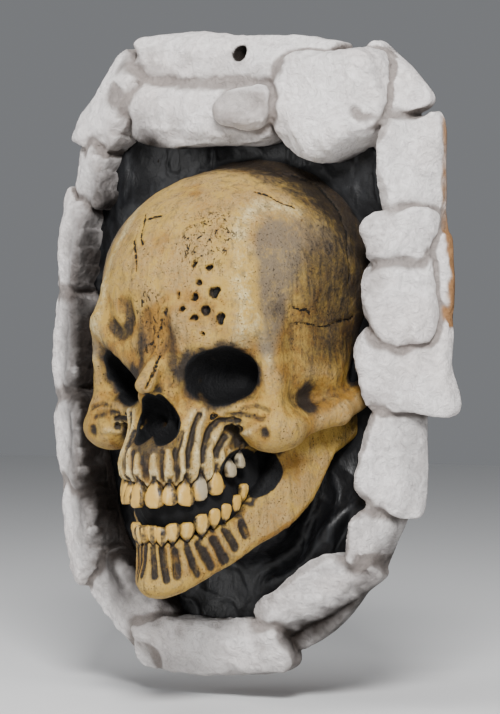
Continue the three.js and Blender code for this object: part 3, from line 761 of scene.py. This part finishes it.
def build(name, points, faces, triangles, masks, material):
    """Makes a piece of the casting: thinned to a number of triangles, painted and riding on the body."""
    mesh = bpy.data.meshes.new(name)
    place = np.stack([points[:, 0], -points[:, 1], points[:, 2]], 1) * MM
    mesh.vertices.add(len(place))
    mesh.vertices.foreach_set("co", place.astype(np.float32).ravel())
    sides = faces.shape[1]
    mesh.loops.add(faces.size)
    mesh.loops.foreach_set("vertex_index", faces.astype(np.int32).ravel())
    mesh.polygons.add(len(faces))
    mesh.polygons.foreach_set("loop_start", np.arange(0, faces.size, sides, dtype=np.int32))
    mesh.update(calc_edges=True)
    obj = bpy.data.objects.new(name, mesh)
    bpy.context.scene.collection.objects.link(obj)
    ratio = triangles / (len(faces) * (sides - 2))
    if ratio < 1:
        thinner = obj.modifiers.new("thinner", "DECIMATE")
        thinner.ratio = ratio
        bpy.context.view_layer.update()
        final = bpy.data.meshes.new_from_object(obj.evaluated_get(bpy.context.evaluated_depsgraph_get()))
        obj.modifiers.clear()
        obj.data = final
        final.name = name
    paint_points(obj.data, masks)
    obj.data.shade_smooth()
    obj.data.materials.clear()
    obj.data.materials.append(material)
    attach(obj, BODY)
    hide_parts(NODE)
    return obj


# Shader maths
class Socket:
    """A shader socket that takes part in Python expressions."""

    def __init__(self, tree, output):
        self.tree = tree
        self.output = output

    def math(self, operation, other):
        return self.tree.add("ShaderNodeMath", {"operation": operation}, {0: self, 1: other})

    def __add__(self, other):
        return self.math("ADD", other)

    __radd__ = __add__

    def __mul__(self, other):
        return self.math("MULTIPLY", other)

    __rmul__ = __mul__

    def __sub__(self, other):
        return self.math("SUBTRACT", other)

    def __rsub__(self, other):
        return self.tree.add("ShaderNodeMath", {"operation": "SUBTRACT"}, {0: other, 1: self})

    def between(self, low, high):
        """0 up to low and 1 from high, smooth between them."""
        values = {"Value": self, "From Min": low, "From Max": high}
        return self.tree.add("ShaderNodeMapRange", {"interpolation_type": "SMOOTHSTEP"}, values)

    def limited(self):
        return self.tree.add("ShaderNodeClamp", {}, {"Value": self})


class Paint:
    """Builds one material's nodes."""

    def __init__(self, name):
        self.material = bpy.data.materials.new(name)
        self.material.use_nodes = True
        self.nodes = self.material.node_tree.nodes
        self.links = self.material.node_tree.links
        self.nodes.clear()

    def add(self, kind, settings, inputs, output=0):
        """A node of a kind, with its settings made first and then its sockets' values or links."""
        node = self.nodes.new(kind)
        for name, value in settings.items():
            setattr(node, name, value)
        for key, value in inputs.items():
            target = node.inputs[key]
            if isinstance(value, Socket):
                self.links.new(value.output, target)
            elif target.type == "RGBA":
                target.default_value = (*value, 1)
            else:
                target.default_value = value
        return Socket(self, node.outputs[output])

    def mask(self, name):
        return self.add("ShaderNodeAttribute", {"attribute_name": name}, {}, "Fac")

    def place(self, scale):
        """The place on the plaque in metres, stretched by a scale."""
        here = self.add("ShaderNodeNewGeometry", {}, {}, "Position")
        return self.add("ShaderNodeVectorMath", {"operation": "MULTIPLY"}, {0: here, 1: scale})

    def cloud(self, size, detail=4, stretch=(1, 1, 1), rough=0.55, twist=0.0):
        """Noise from 0 to 1 with lumps of a size in metres."""
        inputs = {"Vector": self.place(stretch), "Scale": 1 / size, "Detail": detail, "Roughness": rough}
        inputs["Distortion"] = twist
        return self.add("ShaderNodeTexNoise", {}, inputs, "Fac")

    def cells(self, size):
        """The distance to the nearest of many points that lie about a size in metres apart."""
        inputs = {"Vector": self.place((1, 1, 1)), "Scale": 1 / size}
        return self.add("ShaderNodeTexVoronoi", {"feature": "SMOOTH_F1"}, inputs, "Distance")

    def blend(self, share, first, second):
        return self.add("ShaderNodeMix", {"data_type": "RGBA"}, {0: share, 6: first, 7: second}, 2)

    def bump(self, height, distance):
        return self.add("ShaderNodeBump", {}, {"Height": height, "Distance": distance, "Strength": 1})

    def finish(self, **inputs):
        """The surface itself, from the inputs of the principled shader."""
        names = {name.replace("_", " "): value for name, value in inputs.items()}
        surface = self.add("ShaderNodeBsdfPrincipled", {}, names)
        output = self.nodes.new("ShaderNodeOutputMaterial")
        self.links.new(surface.output, output.inputs["Surface"])
        return self.material


def bone_paint(colours):
    paint = Paint("bone_paint")
    broad = paint.cloud(0.04, 3)
    patch = paint.cloud(0.009, 6, rough=0.68, twist=0.3)
    fine = paint.cloud(0.0022, 4, rough=0.65)
    speck = paint.cloud(0.0012, 2)
    streak = paint.cloud(0.005, 5, stretch=(1, 1, 0.22), rough=0.6, twist=0.6)
    tint = paint.blend((broad * 0.5 + patch * 0.5).between(0.42, 0.58), colours.bone, colours.ochre)
    # Brushed cream and painted highlight on raised bone.
    cream = (paint.mask("cream") * (patch * 0.6 + fine * 0.4 + broad * 0.3).between(0.5, 0.8)).limited()
    tint = paint.blend(cream, tint, colours.cream)
    tint = paint.blend((fine * 0.4 + streak * 0.6).between(0.48, 0.64) * 0.65, tint, colours.brown)
    # Grey stain and painted shade on the temple.
    stain = (paint.mask("stain") * (patch + fine * 0.8).between(0.35, 0.95)).limited()
    tint = paint.blend(stain * 0.92, tint, colours.stain)
    # Brown wash and painted shade in the hollows, grooves and flanks.
    wash = (paint.mask("wash") * 1.1 + (fine - 0.5) * 0.5 + (streak - 0.5) * 0.7).between(0.06, 1.05)
    tint = paint.blend(wash * 0.97, tint, colours.wash)
    ragged = paint.cloud(0.0026, 4, stretch=(1, 1, 0.5), rough=0.6, twist=0.8)
    pores = ragged.between(0.57, 0.61) * paint.mask("pores").between(0.2, 0.6) * patch.between(0.36, 0.5)
    dots = speck.between(0.63, 0.67) * patch.between(0.46, 0.54) * 0.8
    crack = (paint.mask("cracks") + (fine - 0.5) * 0.32).between(0.87, 0.95)
    marks = (pores + dots + crack + paint.mask("pits").between(0.35, 0.6)).limited()
    tint = paint.blend(marks, tint, colours.crack)
    black = paint.mask("black")
    tint = paint.blend(black.between(0.25, 0.75), tint, colours.black)
    normal = paint.bump(fine * 0.6 + patch * 0.8 - marks * 0.7, 0.0017)
    rough = 0.5 + 0.2 * fine + 0.1 * black
    return paint.finish(Base_Color=tint, Roughness=rough, Specular_IOR_Level=0.22, Normal=normal)


def tooth_paint(colours):
    paint = Paint("tooth_paint")
    patch = paint.cloud(0.005, 4, stretch=(1, 1, 0.4))
    fine = paint.cloud(0.0016, 3)
    tint = paint.blend(patch.between(0.5, 0.75) * 0.4, colours.tooth, colours.cream)
    tint = paint.blend(paint.mask("grey") * 0.75, tint, colours.grey_tooth)
    # Brown wash and painted shade at the roots and between the teeth.
    wash = (paint.mask("wash") + (fine - 0.5) * 0.5 + (patch - 0.5) * 0.4).between(0.2, 0.95)
    tint = paint.blend(wash, tint, colours.wash)
    tint = paint.blend(paint.mask("black").between(0.2, 0.8), tint, colours.black)
    normal = paint.bump(fine * 0.4 + patch * 0.6, 0.0005)
    return paint.finish(Base_Color=tint, Roughness=0.34 + 0.2 * fine, Specular_IOR_Level=0.35, Normal=normal)


def plaster_paint(colours):
    paint = Paint("plaster_paint")
    broad = paint.cloud(0.05, 3)
    patch = paint.cloud(0.012, 5, twist=0.6)
    grain = paint.cloud(0.0022, 4)
    wrinkle = paint.cloud(0.007, 7, rough=0.7, twist=1.8)
    crumple = paint.cells(0.006)
    tint = paint.blend(broad.between(0.4, 0.7), colours.plaster, colours.plaster_warm)
    tint = paint.blend(patch.between(0.55, 0.8) * 0.4, tint, colours.plaster_grey_and_shade)
    # Painted shade: the stones are greyer in the valleys of the wrinkles that the bump raises.
    tint = paint.blend((1 - wrinkle.between(0.38, 0.52)) * 0.5, tint, colours.plaster_grey_and_shade)
    # Painted shade in the sheltered creases and hollows of the stones.
    wash = (paint.mask("shelter") + (patch - 0.5) * 0.35 + (wrinkle - 0.5) * 0.2).between(0.28, 0.9)
    tint = paint.blend(wash * 0.75, tint, colours.crease)
    # Dark brown on the inner walls and painted shadow in the nail hole.
    tint = paint.blend(paint.mask("airbrush"), tint, colours.soot_and_shadow)
    tint = paint.blend(paint.mask("foam"), tint, colours.foam)
    normal = paint.bump(wrinkle * 0.9 + grain * 0.2 + crumple * 0.4, 0.004)
    rough = 0.68 + 0.15 * grain
    return paint.finish(Base_Color=tint, Roughness=rough, Specular_IOR_Level=0.25, Normal=normal)


def black_paint(colours):
    paint = Paint("black_paint")
    fine = paint.cloud(0.003, 4)
    crease = paint.cloud(0.016, 5, stretch=(1, 1, 0.45), twist=1.2)
    # Painted shade: sheltered places stay pure black, without the greyer worn patches.
    deep = paint.mask("shelter").between(0.2, 0.6)
    tint = paint.blend(crease.between(0.45, 0.7) * (1 - deep), colours.black, colours.worn_black)
    normal = paint.bump(crease * 0.7 + fine * 0.3, 0.0012)
    rough = 0.34 + 0.2 * crease + 0.4 * deep
    return paint.finish(Base_Color=tint, Roughness=rough, Specular_IOR_Level=0.28, Normal=normal)


# What a user would change
def step_property(name, description, default):
    return FloatProperty(name=name, description=description, default=default, min=0.0005, unit="LENGTH")


def colour_property(name, description, default):
    return FloatVectorProperty(name=name, description=description, default=default, size=3, subtype="COLOR")


class PlaqueSizes(bpy.types.PropertyGroup):
    """Sizes of the plaque's fine surface."""

    skull_step: step_property("Skull Step", "Grid step of the skull's skin", 0.0012)
    stone_step: step_property("Stone Step", "Grid step of the stones' skin", 0.0015)
    hollow_step: step_property("Hollow Step", "Grid step of the hollow's skin", 0.0018)
    most_triangles: IntProperty(
        name="Most Triangles", description="Triangles that one piece may have", default=190000, min=10000
    )


class PlaqueColours(bpy.types.PropertyGroup):
    """Paints of the plaque."""

    bone: colour_property("Bone", "Yellow bone paint", (0.36, 0.225, 0.047))
    ochre: colour_property("Ochre", "Darker patches of the bone paint", (0.24, 0.12, 0.02))
    tooth: colour_property("Tooth", "Yellow of the teeth", (0.46, 0.275, 0.054))
    grey_tooth: colour_property("Grey Tooth", "Silver grey of the three odd teeth", (0.24, 0.235, 0.19))
    # Brushed cream and painted highlight on raised bone.
    cream: colour_property("Cream", "Highlights brushed on raised bone", (0.64, 0.54, 0.29))
    brown: colour_property("Brown", "Fine mottling of the bone paint", (0.12, 0.08, 0.032))
    # Brown wash and painted shade in the bone's hollows and at the teeth's roots.
    wash: colour_property("Wash", "Brown wash in the bone's hollows", (0.014, 0.011, 0.01))
    # Grey stain and painted shade on the temple.
    stain: colour_property("Stain", "Grey stain on the temple", (0.135, 0.103, 0.068))
    crack: colour_property("Crack", "Paint in cracks and pits", (0.006, 0.005, 0.004))
    black: colour_property("Black", "Black latex paint", (0.003, 0.003, 0.0035))
    worn_black: colour_property("Worn Black", "Greyer patches of the black paint", (0.011, 0.0115, 0.013))
    plaster: colour_property("Plaster", "Off-white stones", (0.86, 0.82, 0.8))
    plaster_warm: colour_property("Warm Plaster", "Warmer patches of the stones", (0.81, 0.75, 0.72))
    # Greyer patches, and painted shade in the wrinkles' valleys.
    plaster_grey_and_shade: colour_property("Plaster Shade", "Greyer patches of the stones", (0.6, 0.55, 0.54))
    # Painted shade in the creases between the stones.
    crease: colour_property("Crease", "Wash in the creases between the stones", (0.15, 0.115, 0.095))
    # Dark brown on the inner walls and painted shadow in the nail hole.
    soot_and_shadow: colour_property("Soot", "Dark brown sprayed on the inner walls", (0.02, 0.014, 0.011))
    foam: colour_property("Foam", "Raw foam edge and back", (0.33, 0.17, 0.07))


def step_of(size):
    return size / MM * 1


def bone_masks(points, normals):
    """Paint on the skull: black in its openings, brown wash and painted shade around them and in its hollows,
    and brushed cream with painted highlight where it stands out.
    """
    marks = Marks(points, normals)
    p = x, d, z = marks.p
    # Painted shade: how sheltered each point is darkens the bone's hollows and keeps the cream highlight off
    # them.
    shade = shelter(bone_field, points, normals, 22)
    blur = 2 * lumps(p, 9, 71, 2)
    black = fade(0, 3, marks.socket + blur * 0.5)
    black = np.maximum(black, fade(0.2, 1.8, marks.nostril + blur * 0.2))
    black = np.maximum(black, fade(0.5, 3, marks.corner + blur * 0.3))
    behind_teeth = fade(0.78, 0.86, np.hypot(x / 41, (d - 84) / 63))
    black = np.maximum(black, behind_teeth * (z < -66) * (z > -150) * (d > 60))
    black = np.maximum(black, fade(5, 20, d + 2 * blur))
    # Painted shade around the sockets and at their inner tops.
    halo = fade(0, 8, marks.socket + blur)
    inner = smoothstep(36, 18, np.abs(x)) * smoothstep(-32, -8, z)
    inner = inner * fade(2, 15, marks.socket + blur)
    # Painted shade beside the root of the nose.
    root = bell((np.abs(x) - 13) / 6, 1) * smoothstep(-26, -6, z) * smoothstep(40, 8, z) * (d > 110)
    # Darker toward the wall, low at the back and over the crown.
    back = 0.95 * fade(20, 38, d + 2 * blur) * smoothstep(-70, -20, z)
    crown = 0.95 * fade(26, 88, d + 5 * blur) * smoothstep(-10, 50, z)
    # Painted shade in the temple's pit and hollow.
    fossa = bell(np.linalg.norm(np.stack([np.abs(x) - 81, d - 72, (z + 30) * 0.7]), axis=0), 8)
    side_hollow = 0.42 * bell(np.linalg.norm(np.stack([np.abs(x) - 80, d - 86, (z + 6) * 0.5]), axis=0), 18)
    # Darker over the muzzle, less on its strands.
    muzzle = 0.8 * bell(x / 36, 1) * smoothstep(-90, -80, z) * smoothstep(-44, -58, z) * (d > 100)
    # Brown in the furrows, the dent, the dimple and the frown, with painted shade in these grooves.
    streaks = 0.95 + 0.4 * noise((x, d * 0.4, z * 0.5), 3, 72)
    carved = (marks.chin * 1.05 + marks.furrows * 0.5) * streaks
    carved = carved + marks.dent * 0.5 + marks.dimple + marks.frown * 0.55
    muzzle = muzzle * (1 - np.clip(marks.strands * 0.8, 0, 1))
    # Brown wash and painted shade together, lighter on the gums.
    washes_and_shade = [halo * 0.9, inner * 1.2, root * 0.8, back, crown, fossa * 1.9, side_hollow, carved, muzzle]
    wash = np.maximum.reduce([*washes_and_shade, marks.outlines]) * (1 - 0.8 * np.clip(marks.gums, 0, 1))
    # Grey on the temple and back along the crown's side: partly a grey stain, partly painted shade where the
    # side turns away from the light.
    band = bar((np.abs(x), d, z), (71, 90, 80), (70, 108, 6), 19, 6)
    arch = bar((np.abs(x), d, z), (71, 90, 80), (86, 56, 84), 19, 15)
    stain = np.maximum(fade(-4, 4, band + blur), 0.8 * fade(-10, 6, arch + 2 * blur))
    brushed = bell(band - 11, 6) * (np.abs(x) < 72) * (z > 5)
    # Painted shade: the bone darkens toward its flanks, which turn away from the front.
    flank_shade = 0.75 * smoothstep(68, 90, np.abs(x)) * smoothstep(-30, 10, z)
    # Painted highlight on open, raised bone, beside the cream brushed on strands, gums and the temple's edge.
    open_bone_highlight = fade(0.02, 0.14, shade)
    return {
        "black": black,
        "wash": np.maximum(np.maximum(wash, flank_shade), 0.9 * smoothstep(0.16, 0.8, shade)),
        "stain": stain,
        "cream": np.clip(marks.strands * 0.32 + open_bone_highlight * 0.26 + marks.gums * 0.6 + brushed * 0.5, 0, 1),
        "pits": np.maximum(marks.pits, marks.holes),
        "cracks": 1 - marks.crack_distance / CRACK_REACH,
        "pores": bell(marks.frown_distance(), 1),
    }


def bone_relief(points, normals):
    return Marks(points, normals).relief()


class PLAQUE_OT_skull(bpy.types.Operator):
    """Sculpts the skull: braincase, brow, nose, cheeks and jaws"""

    bl_idname = "plaque.skull"
    bl_label = "Skull"

    def execute(self, context):
        sizes, colours = context.scene.plaque_sizes, context.scene.plaque_colours
        points, faces = sculpt(bone_field, *SKULL_BOX, step_of(sizes.skull_step))
        points = displaced(points, faces, bone_relief)
        build("skull", points, faces, sizes.most_triangles, bone_masks, bone_paint(colours))
        return {"FINISHED"}


def tooth_points(middle, facing, width, root, tip, seed):
    """Rings of points from the pointed root of a tooth to its blunt tip."""
    level = np.concatenate([[0], np.linspace(0, 1, TOOTH_LEVELS), [1]])
    share = np.interp(level, *TOOTH_SHAPE)
    share[[0, -1]] = 0.02
    angle = np.linspace(0, 2 * math.pi, TOOTH_SIDES, endpoint=False)
    c, s = np.cos(angle), np.sin(angle)
    across = np.outer(share, np.sign(c) * np.abs(c) ** 0.8) * width / 2
    out = (np.outer(share**0.5, np.sign(s) * np.abs(s) ** 0.7) - 1) * TOOTH_DEPTH / 2
    out = out + 1.3 + 1.1 * level[:, None]
    x = middle[0] + across * facing[1] + out * facing[0]
    d = middle[1] - across * facing[0] + out * facing[1]
    z = np.broadcast_to(mix(root, tip, level)[:, None], x.shape) - 0.06 * across * seed
    points = np.stack([x, d, z], 2).reshape(-1, 3)
    rough = 0.35 * lumps(tuple(points.T), 4, seed) + 0.15 * np.sin(across.ravel() * 2.6 + seed)
    return points + rough[:, None] * (facing[0], facing[1], 0)


def ring_faces(rings, sides, start, flip):
    """Four-sided faces between rings of points."""
    ring, side = np.meshgrid(np.arange(rings - 1), np.arange(sides), indexing="ij")
    here, after = ring * sides + side, ring * sides + (side + 1) % sides
    quads = np.stack([here, after, after + sides, here + sides], 2).reshape(-1, 4) + start
    return quads[:, ::-1] if flip else quads


def tooth_masks(rows, arch):
    """Brown wash and painted shade at the roots and between the teeth, and black behind them."""

    def masks(points, normals):
        gum = np.zeros(len(points))
        inside = fade(-0.3, 0.2, outward_share(points, normals, arch))
        for middle, facing, width, root, tip in teeth_of(rows, arch):
            near = np.hypot(points[:, 0] - middle[0], points[:, 1] - middle[1]) < width * 0.75
            height = (points[:, 2] - root) / (tip - root)
            across = (points[:, 0] - middle[0]) * facing[1] - (points[:, 1] - middle[1]) * facing[0]
            edge = smoothstep(0.62, 1.0, np.abs(across) / width * 2) * 0.8
            gum = np.where(near, np.maximum(fade(0.05, 0.4, height), edge), gum)
        shade = 0.25 * lumps(tuple(points.T), 3, 81) + gum
        grey = np.zeros(len(points))
        for middle in GREY_TEETH:
            far = np.linalg.norm((points - middle) * (1, 1, 0.5), axis=1)
            grey = np.maximum(grey, fade(5, 7, far))
        return {"black": inside, "grey": grey, "wash": shade * 0.9, "cream": 1 - gum}

    return masks


def outward_share(points, normals, arch):
    """1 where a point faces out of the mouth and -1 where it faces in."""
    x, d = points[:, 0] / arch["half_width"] ** 2, (points[:, 1] - arch["back"]) / arch["reach"] ** 2
    return (x * normals[:, 0] + d * normals[:, 1]) / np.maximum(np.hypot(x, d), 1e-9)


def row_of_teeth(name, rows, arch, context):
    points, faces, start = [], [], 0
    for seed, tooth in enumerate(teeth_of(rows, arch)):
        one = tooth_points(*tooth, seed % 5 - 2)
        points.append(one)
        faces.append(ring_faces(TOOTH_LEVELS + 2, TOOTH_SIDES, start, tooth[3] < tooth[4]))
        start += len(one)
    sizes, colours = context.scene.plaque_sizes, context.scene.plaque_colours
    points, faces = np.concatenate(points), np.concatenate(faces)
    material = tooth_paint(colours)
    build(name, points, faces, sizes.most_triangles, tooth_masks(rows, arch), material)


class PLAQUE_OT_upper_teeth(bpy.types.Operator):
    """Sets the upper teeth into the jaw"""

    bl_idname = "plaque.upper_teeth"
    bl_label = "Upper Teeth"

    def execute(self, context):
        row_of_teeth("upper_teeth", UPPER_TEETH, UPPER_ARCH, context)
        return {"FINISHED"}


class PLAQUE_OT_lower_teeth(bpy.types.Operator):
    """Sets the lower teeth into the jaw"""

    bl_idname = "plaque.lower_teeth"
    bl_label = "Lower Teeth"

    def execute(self, context):
        row_of_teeth("lower_teeth", LOWER_TEETH, LOWER_ARCH, context)
        return {"FINISHED"}


def stone_masks(points, normals):
    """Painted shade in the creases and hollows, black sprayed low on the inner walls, painted shadow in the
    nail hole and raw foam at the back.
    """
    x, d, z = p = tuple(points.T)
    blur = lumps(p, 14, 91, 3)
    height = mix(24, 48, smoothstep(-25, -75, x) * smoothstep(-210, -160, z)) + 5 * blur
    inner = fade(1.04, 1.3, hollow_share(x, z) + 0.04 * blur)
    raw_edge = smoothstep(148, 152, x) * fade(7, 9, d + 2 * blur) * (z > 20)
    # Painted shadow: the inside of the nail hole is painted dark.
    nail_hole_shadow = fade(0.3, 1.1, np.hypot(x - HOLE_AT[0], z - HOLE_AT[1]) - HOLE_RADIUS)
    # Painted shade along the creases between the stones.
    fold = smoothstep(0.07, 0.2, shelter(stone_field, points, normals, 7))
    crease = bell(crease_distance(x, d, z) + blur, 3) * fold
    return {
        "shelter": np.maximum(shelter(stone_field, points, normals, 13), crease),
        "airbrush": np.maximum(inner * fade(-14, 5, d - height), nail_hole_shadow),
        "foam": np.maximum(smoothstep(0.9, 0.98, -normals[:, 1]), raw_edge),
    }


class PLAQUE_OT_stones(bpy.types.Operator):
    """Sculpts the ring of broken plaster stones"""

    bl_idname = "plaque.stones"
    bl_label = "Stones"

    def execute(self, context):
        sizes, colours = context.scene.plaque_sizes, context.scene.plaque_colours
        points, faces = sculpt(stone_field, *STONE_BOX, step_of(sizes.stone_step))
        points = displaced(points, faces, stone_relief)
        material = plaster_paint(colours)
        build("stones", points, faces, sizes.most_triangles, stone_masks, material)
        return {"FINISHED"}


def hollow_masks(points, normals):
    """Painted shade, strongest inside the mouth and under the skull."""
    covered = shelter(bone_field, points, normals, 26)
    return {"shelter": np.maximum(covered, smoothstep(50, 80, points[:, 1]))}


class PLAQUE_OT_hollow(bpy.types.Operator):
    """Sculpts the black hollow behind the skull"""

    bl_idname = "plaque.hollow"
    bl_label = "Hollow"

    def execute(self, context):
        sizes, colours = context.scene.plaque_sizes, context.scene.plaque_colours
        points, faces = sculpt(black_field, *HOLLOW_BOX, step_of(sizes.hollow_step))
        points = displaced(points, faces, black_relief)
        material = black_paint(colours)
        build("black_hollow", points, faces, sizes.most_triangles, hollow_masks, material)
        return {"FINISHED"}


# The stage. Each softbox: its place, its width and height, and its power.
SOFTBOXES = {
    "key": ((1.2, -1.9, 1.3), 0.6, 114),
    "fill": ((-1.5, -1.6, 0.3), 1.0, 18),
    "top": ((0.0, -0.5, 1.7), 0.8, 14),
}
STUDIO_COLOUR = (0.6, 0.62, 0.65, 1)
STUDIO_STRENGTH = 0.32
FLOOR_COLOUR = (0.75, 0.75, 0.75)
FLOOR_HALF = 4
FLOOR_GAP = 0.01
CAMERA_TARGET = (0.0145, -0.04, -0.001)
CAMERA_AZIMUTH = 32
CAMERA_DISTANCE = 2.0
CAMERA_LENS = 142.9


def softbox(name, place, size, power):
    """A square light that faces the plaque's middle."""
    light = bpy.data.lights.new(name, "AREA")
    light.shape = "SQUARE"
    light.size = size
    light.energy = power
    obj = bpy.data.objects.new(name, light)
    obj.location = place
    obj.rotation_euler = (-Vector(place)).to_track_quat("-Z", "Y").to_euler()
    bpy.context.scene.collection.objects.link(obj)


class PLAQUE_OT_stage(bpy.types.Operator):
    """Sets the floor, the lights and the camera"""

    bl_idname = "plaque.stage"
    bl_label = "Stage"

    def execute(self, context):
        scene = context.scene
        turn = math.radians(CAMERA_AZIMUTH)
        camera_data = bpy.data.cameras.new("camera")
        camera_data.sensor_fit = "VERTICAL"
        camera_data.sensor_height = 36
        camera_data.lens = CAMERA_LENS
        camera = bpy.data.objects.new("camera", camera_data)
        away = Vector((math.sin(turn), -math.cos(turn), 0))
        camera.location = Vector(CAMERA_TARGET) + away * CAMERA_DISTANCE
        camera.rotation_euler = (-away).to_track_quat("-Z", "Y").to_euler()
        scene.collection.objects.link(camera)
        scene.camera = camera
        floor = bpy.data.meshes.new("floor")
        half, low = FLOOR_HALF, CAD_LOW.z - FLOOR_GAP
        corners = [(-half, -half, low), (half, -half, low), (half, half, low), (-half, half, low)]
        floor.from_pydata(corners, [], [(0, 1, 2, 3)])
        floor.materials.append(Paint("floor").finish(Base_Color=FLOOR_COLOUR, Roughness=0.8))
        floor_object = bpy.data.objects.new("floor", floor)
        scene.collection.objects.link(floor_object)
        world = bpy.data.worlds.new("studio")
        world.use_nodes = True
        background = world.node_tree.nodes["Background"]
        background.inputs["Color"].default_value = STUDIO_COLOUR
        background.inputs["Strength"].default_value = STUDIO_STRENGTH
        scene.world = world
        for name, softbox_row in SOFTBOXES.items():
            softbox(name, *softbox_row)
        return {"FINISHED"}


class PLAQUE_PT_panel(bpy.types.Panel):
    """Lists the plaque's pieces"""

    bl_idname = "PLAQUE_PT_panel"
    bl_label = "Skull Wall Plaque"
    bl_space_type = "VIEW_3D"
    bl_region_type = "UI"
    bl_category = "Plaque"

    def draw(self, context):
        for group in (context.scene.plaque_sizes, context.scene.plaque_colours):
            for name in group.__annotations__:
                self.layout.prop(group, name)
        for operator in OPERATORS:
            self.layout.operator(operator.bl_idname)


PIECES = (PLAQUE_OT_stones, PLAQUE_OT_hollow, PLAQUE_OT_skull, PLAQUE_OT_upper_teeth, PLAQUE_OT_lower_teeth)
OPERATORS = (PLAQUE_OT_stage, *PIECES)
CLASSES = (PlaqueSizes, PlaqueColours, *OPERATORS, PLAQUE_PT_panel)


def register():
    for one in CLASSES:
        bpy.utils.register_class(one)
    bpy.types.Scene.plaque_sizes = PointerProperty(type=PlaqueSizes)
    bpy.types.Scene.plaque_colours = PointerProperty(type=PlaqueColours)


def unregister():
    del bpy.types.Scene.plaque_colours
    del bpy.types.Scene.plaque_sizes
    for one in reversed(CLASSES):
        bpy.utils.unregister_class(one)


def main():
    register()
    bpy.ops.plaque.stage()
    bpy.ops.plaque.stones()
    bpy.ops.plaque.hollow()
    bpy.ops.plaque.skull()
    bpy.ops.plaque.upper_teeth()
    bpy.ops.plaque.lower_teeth()


if __name__ == "__main__":
    main()
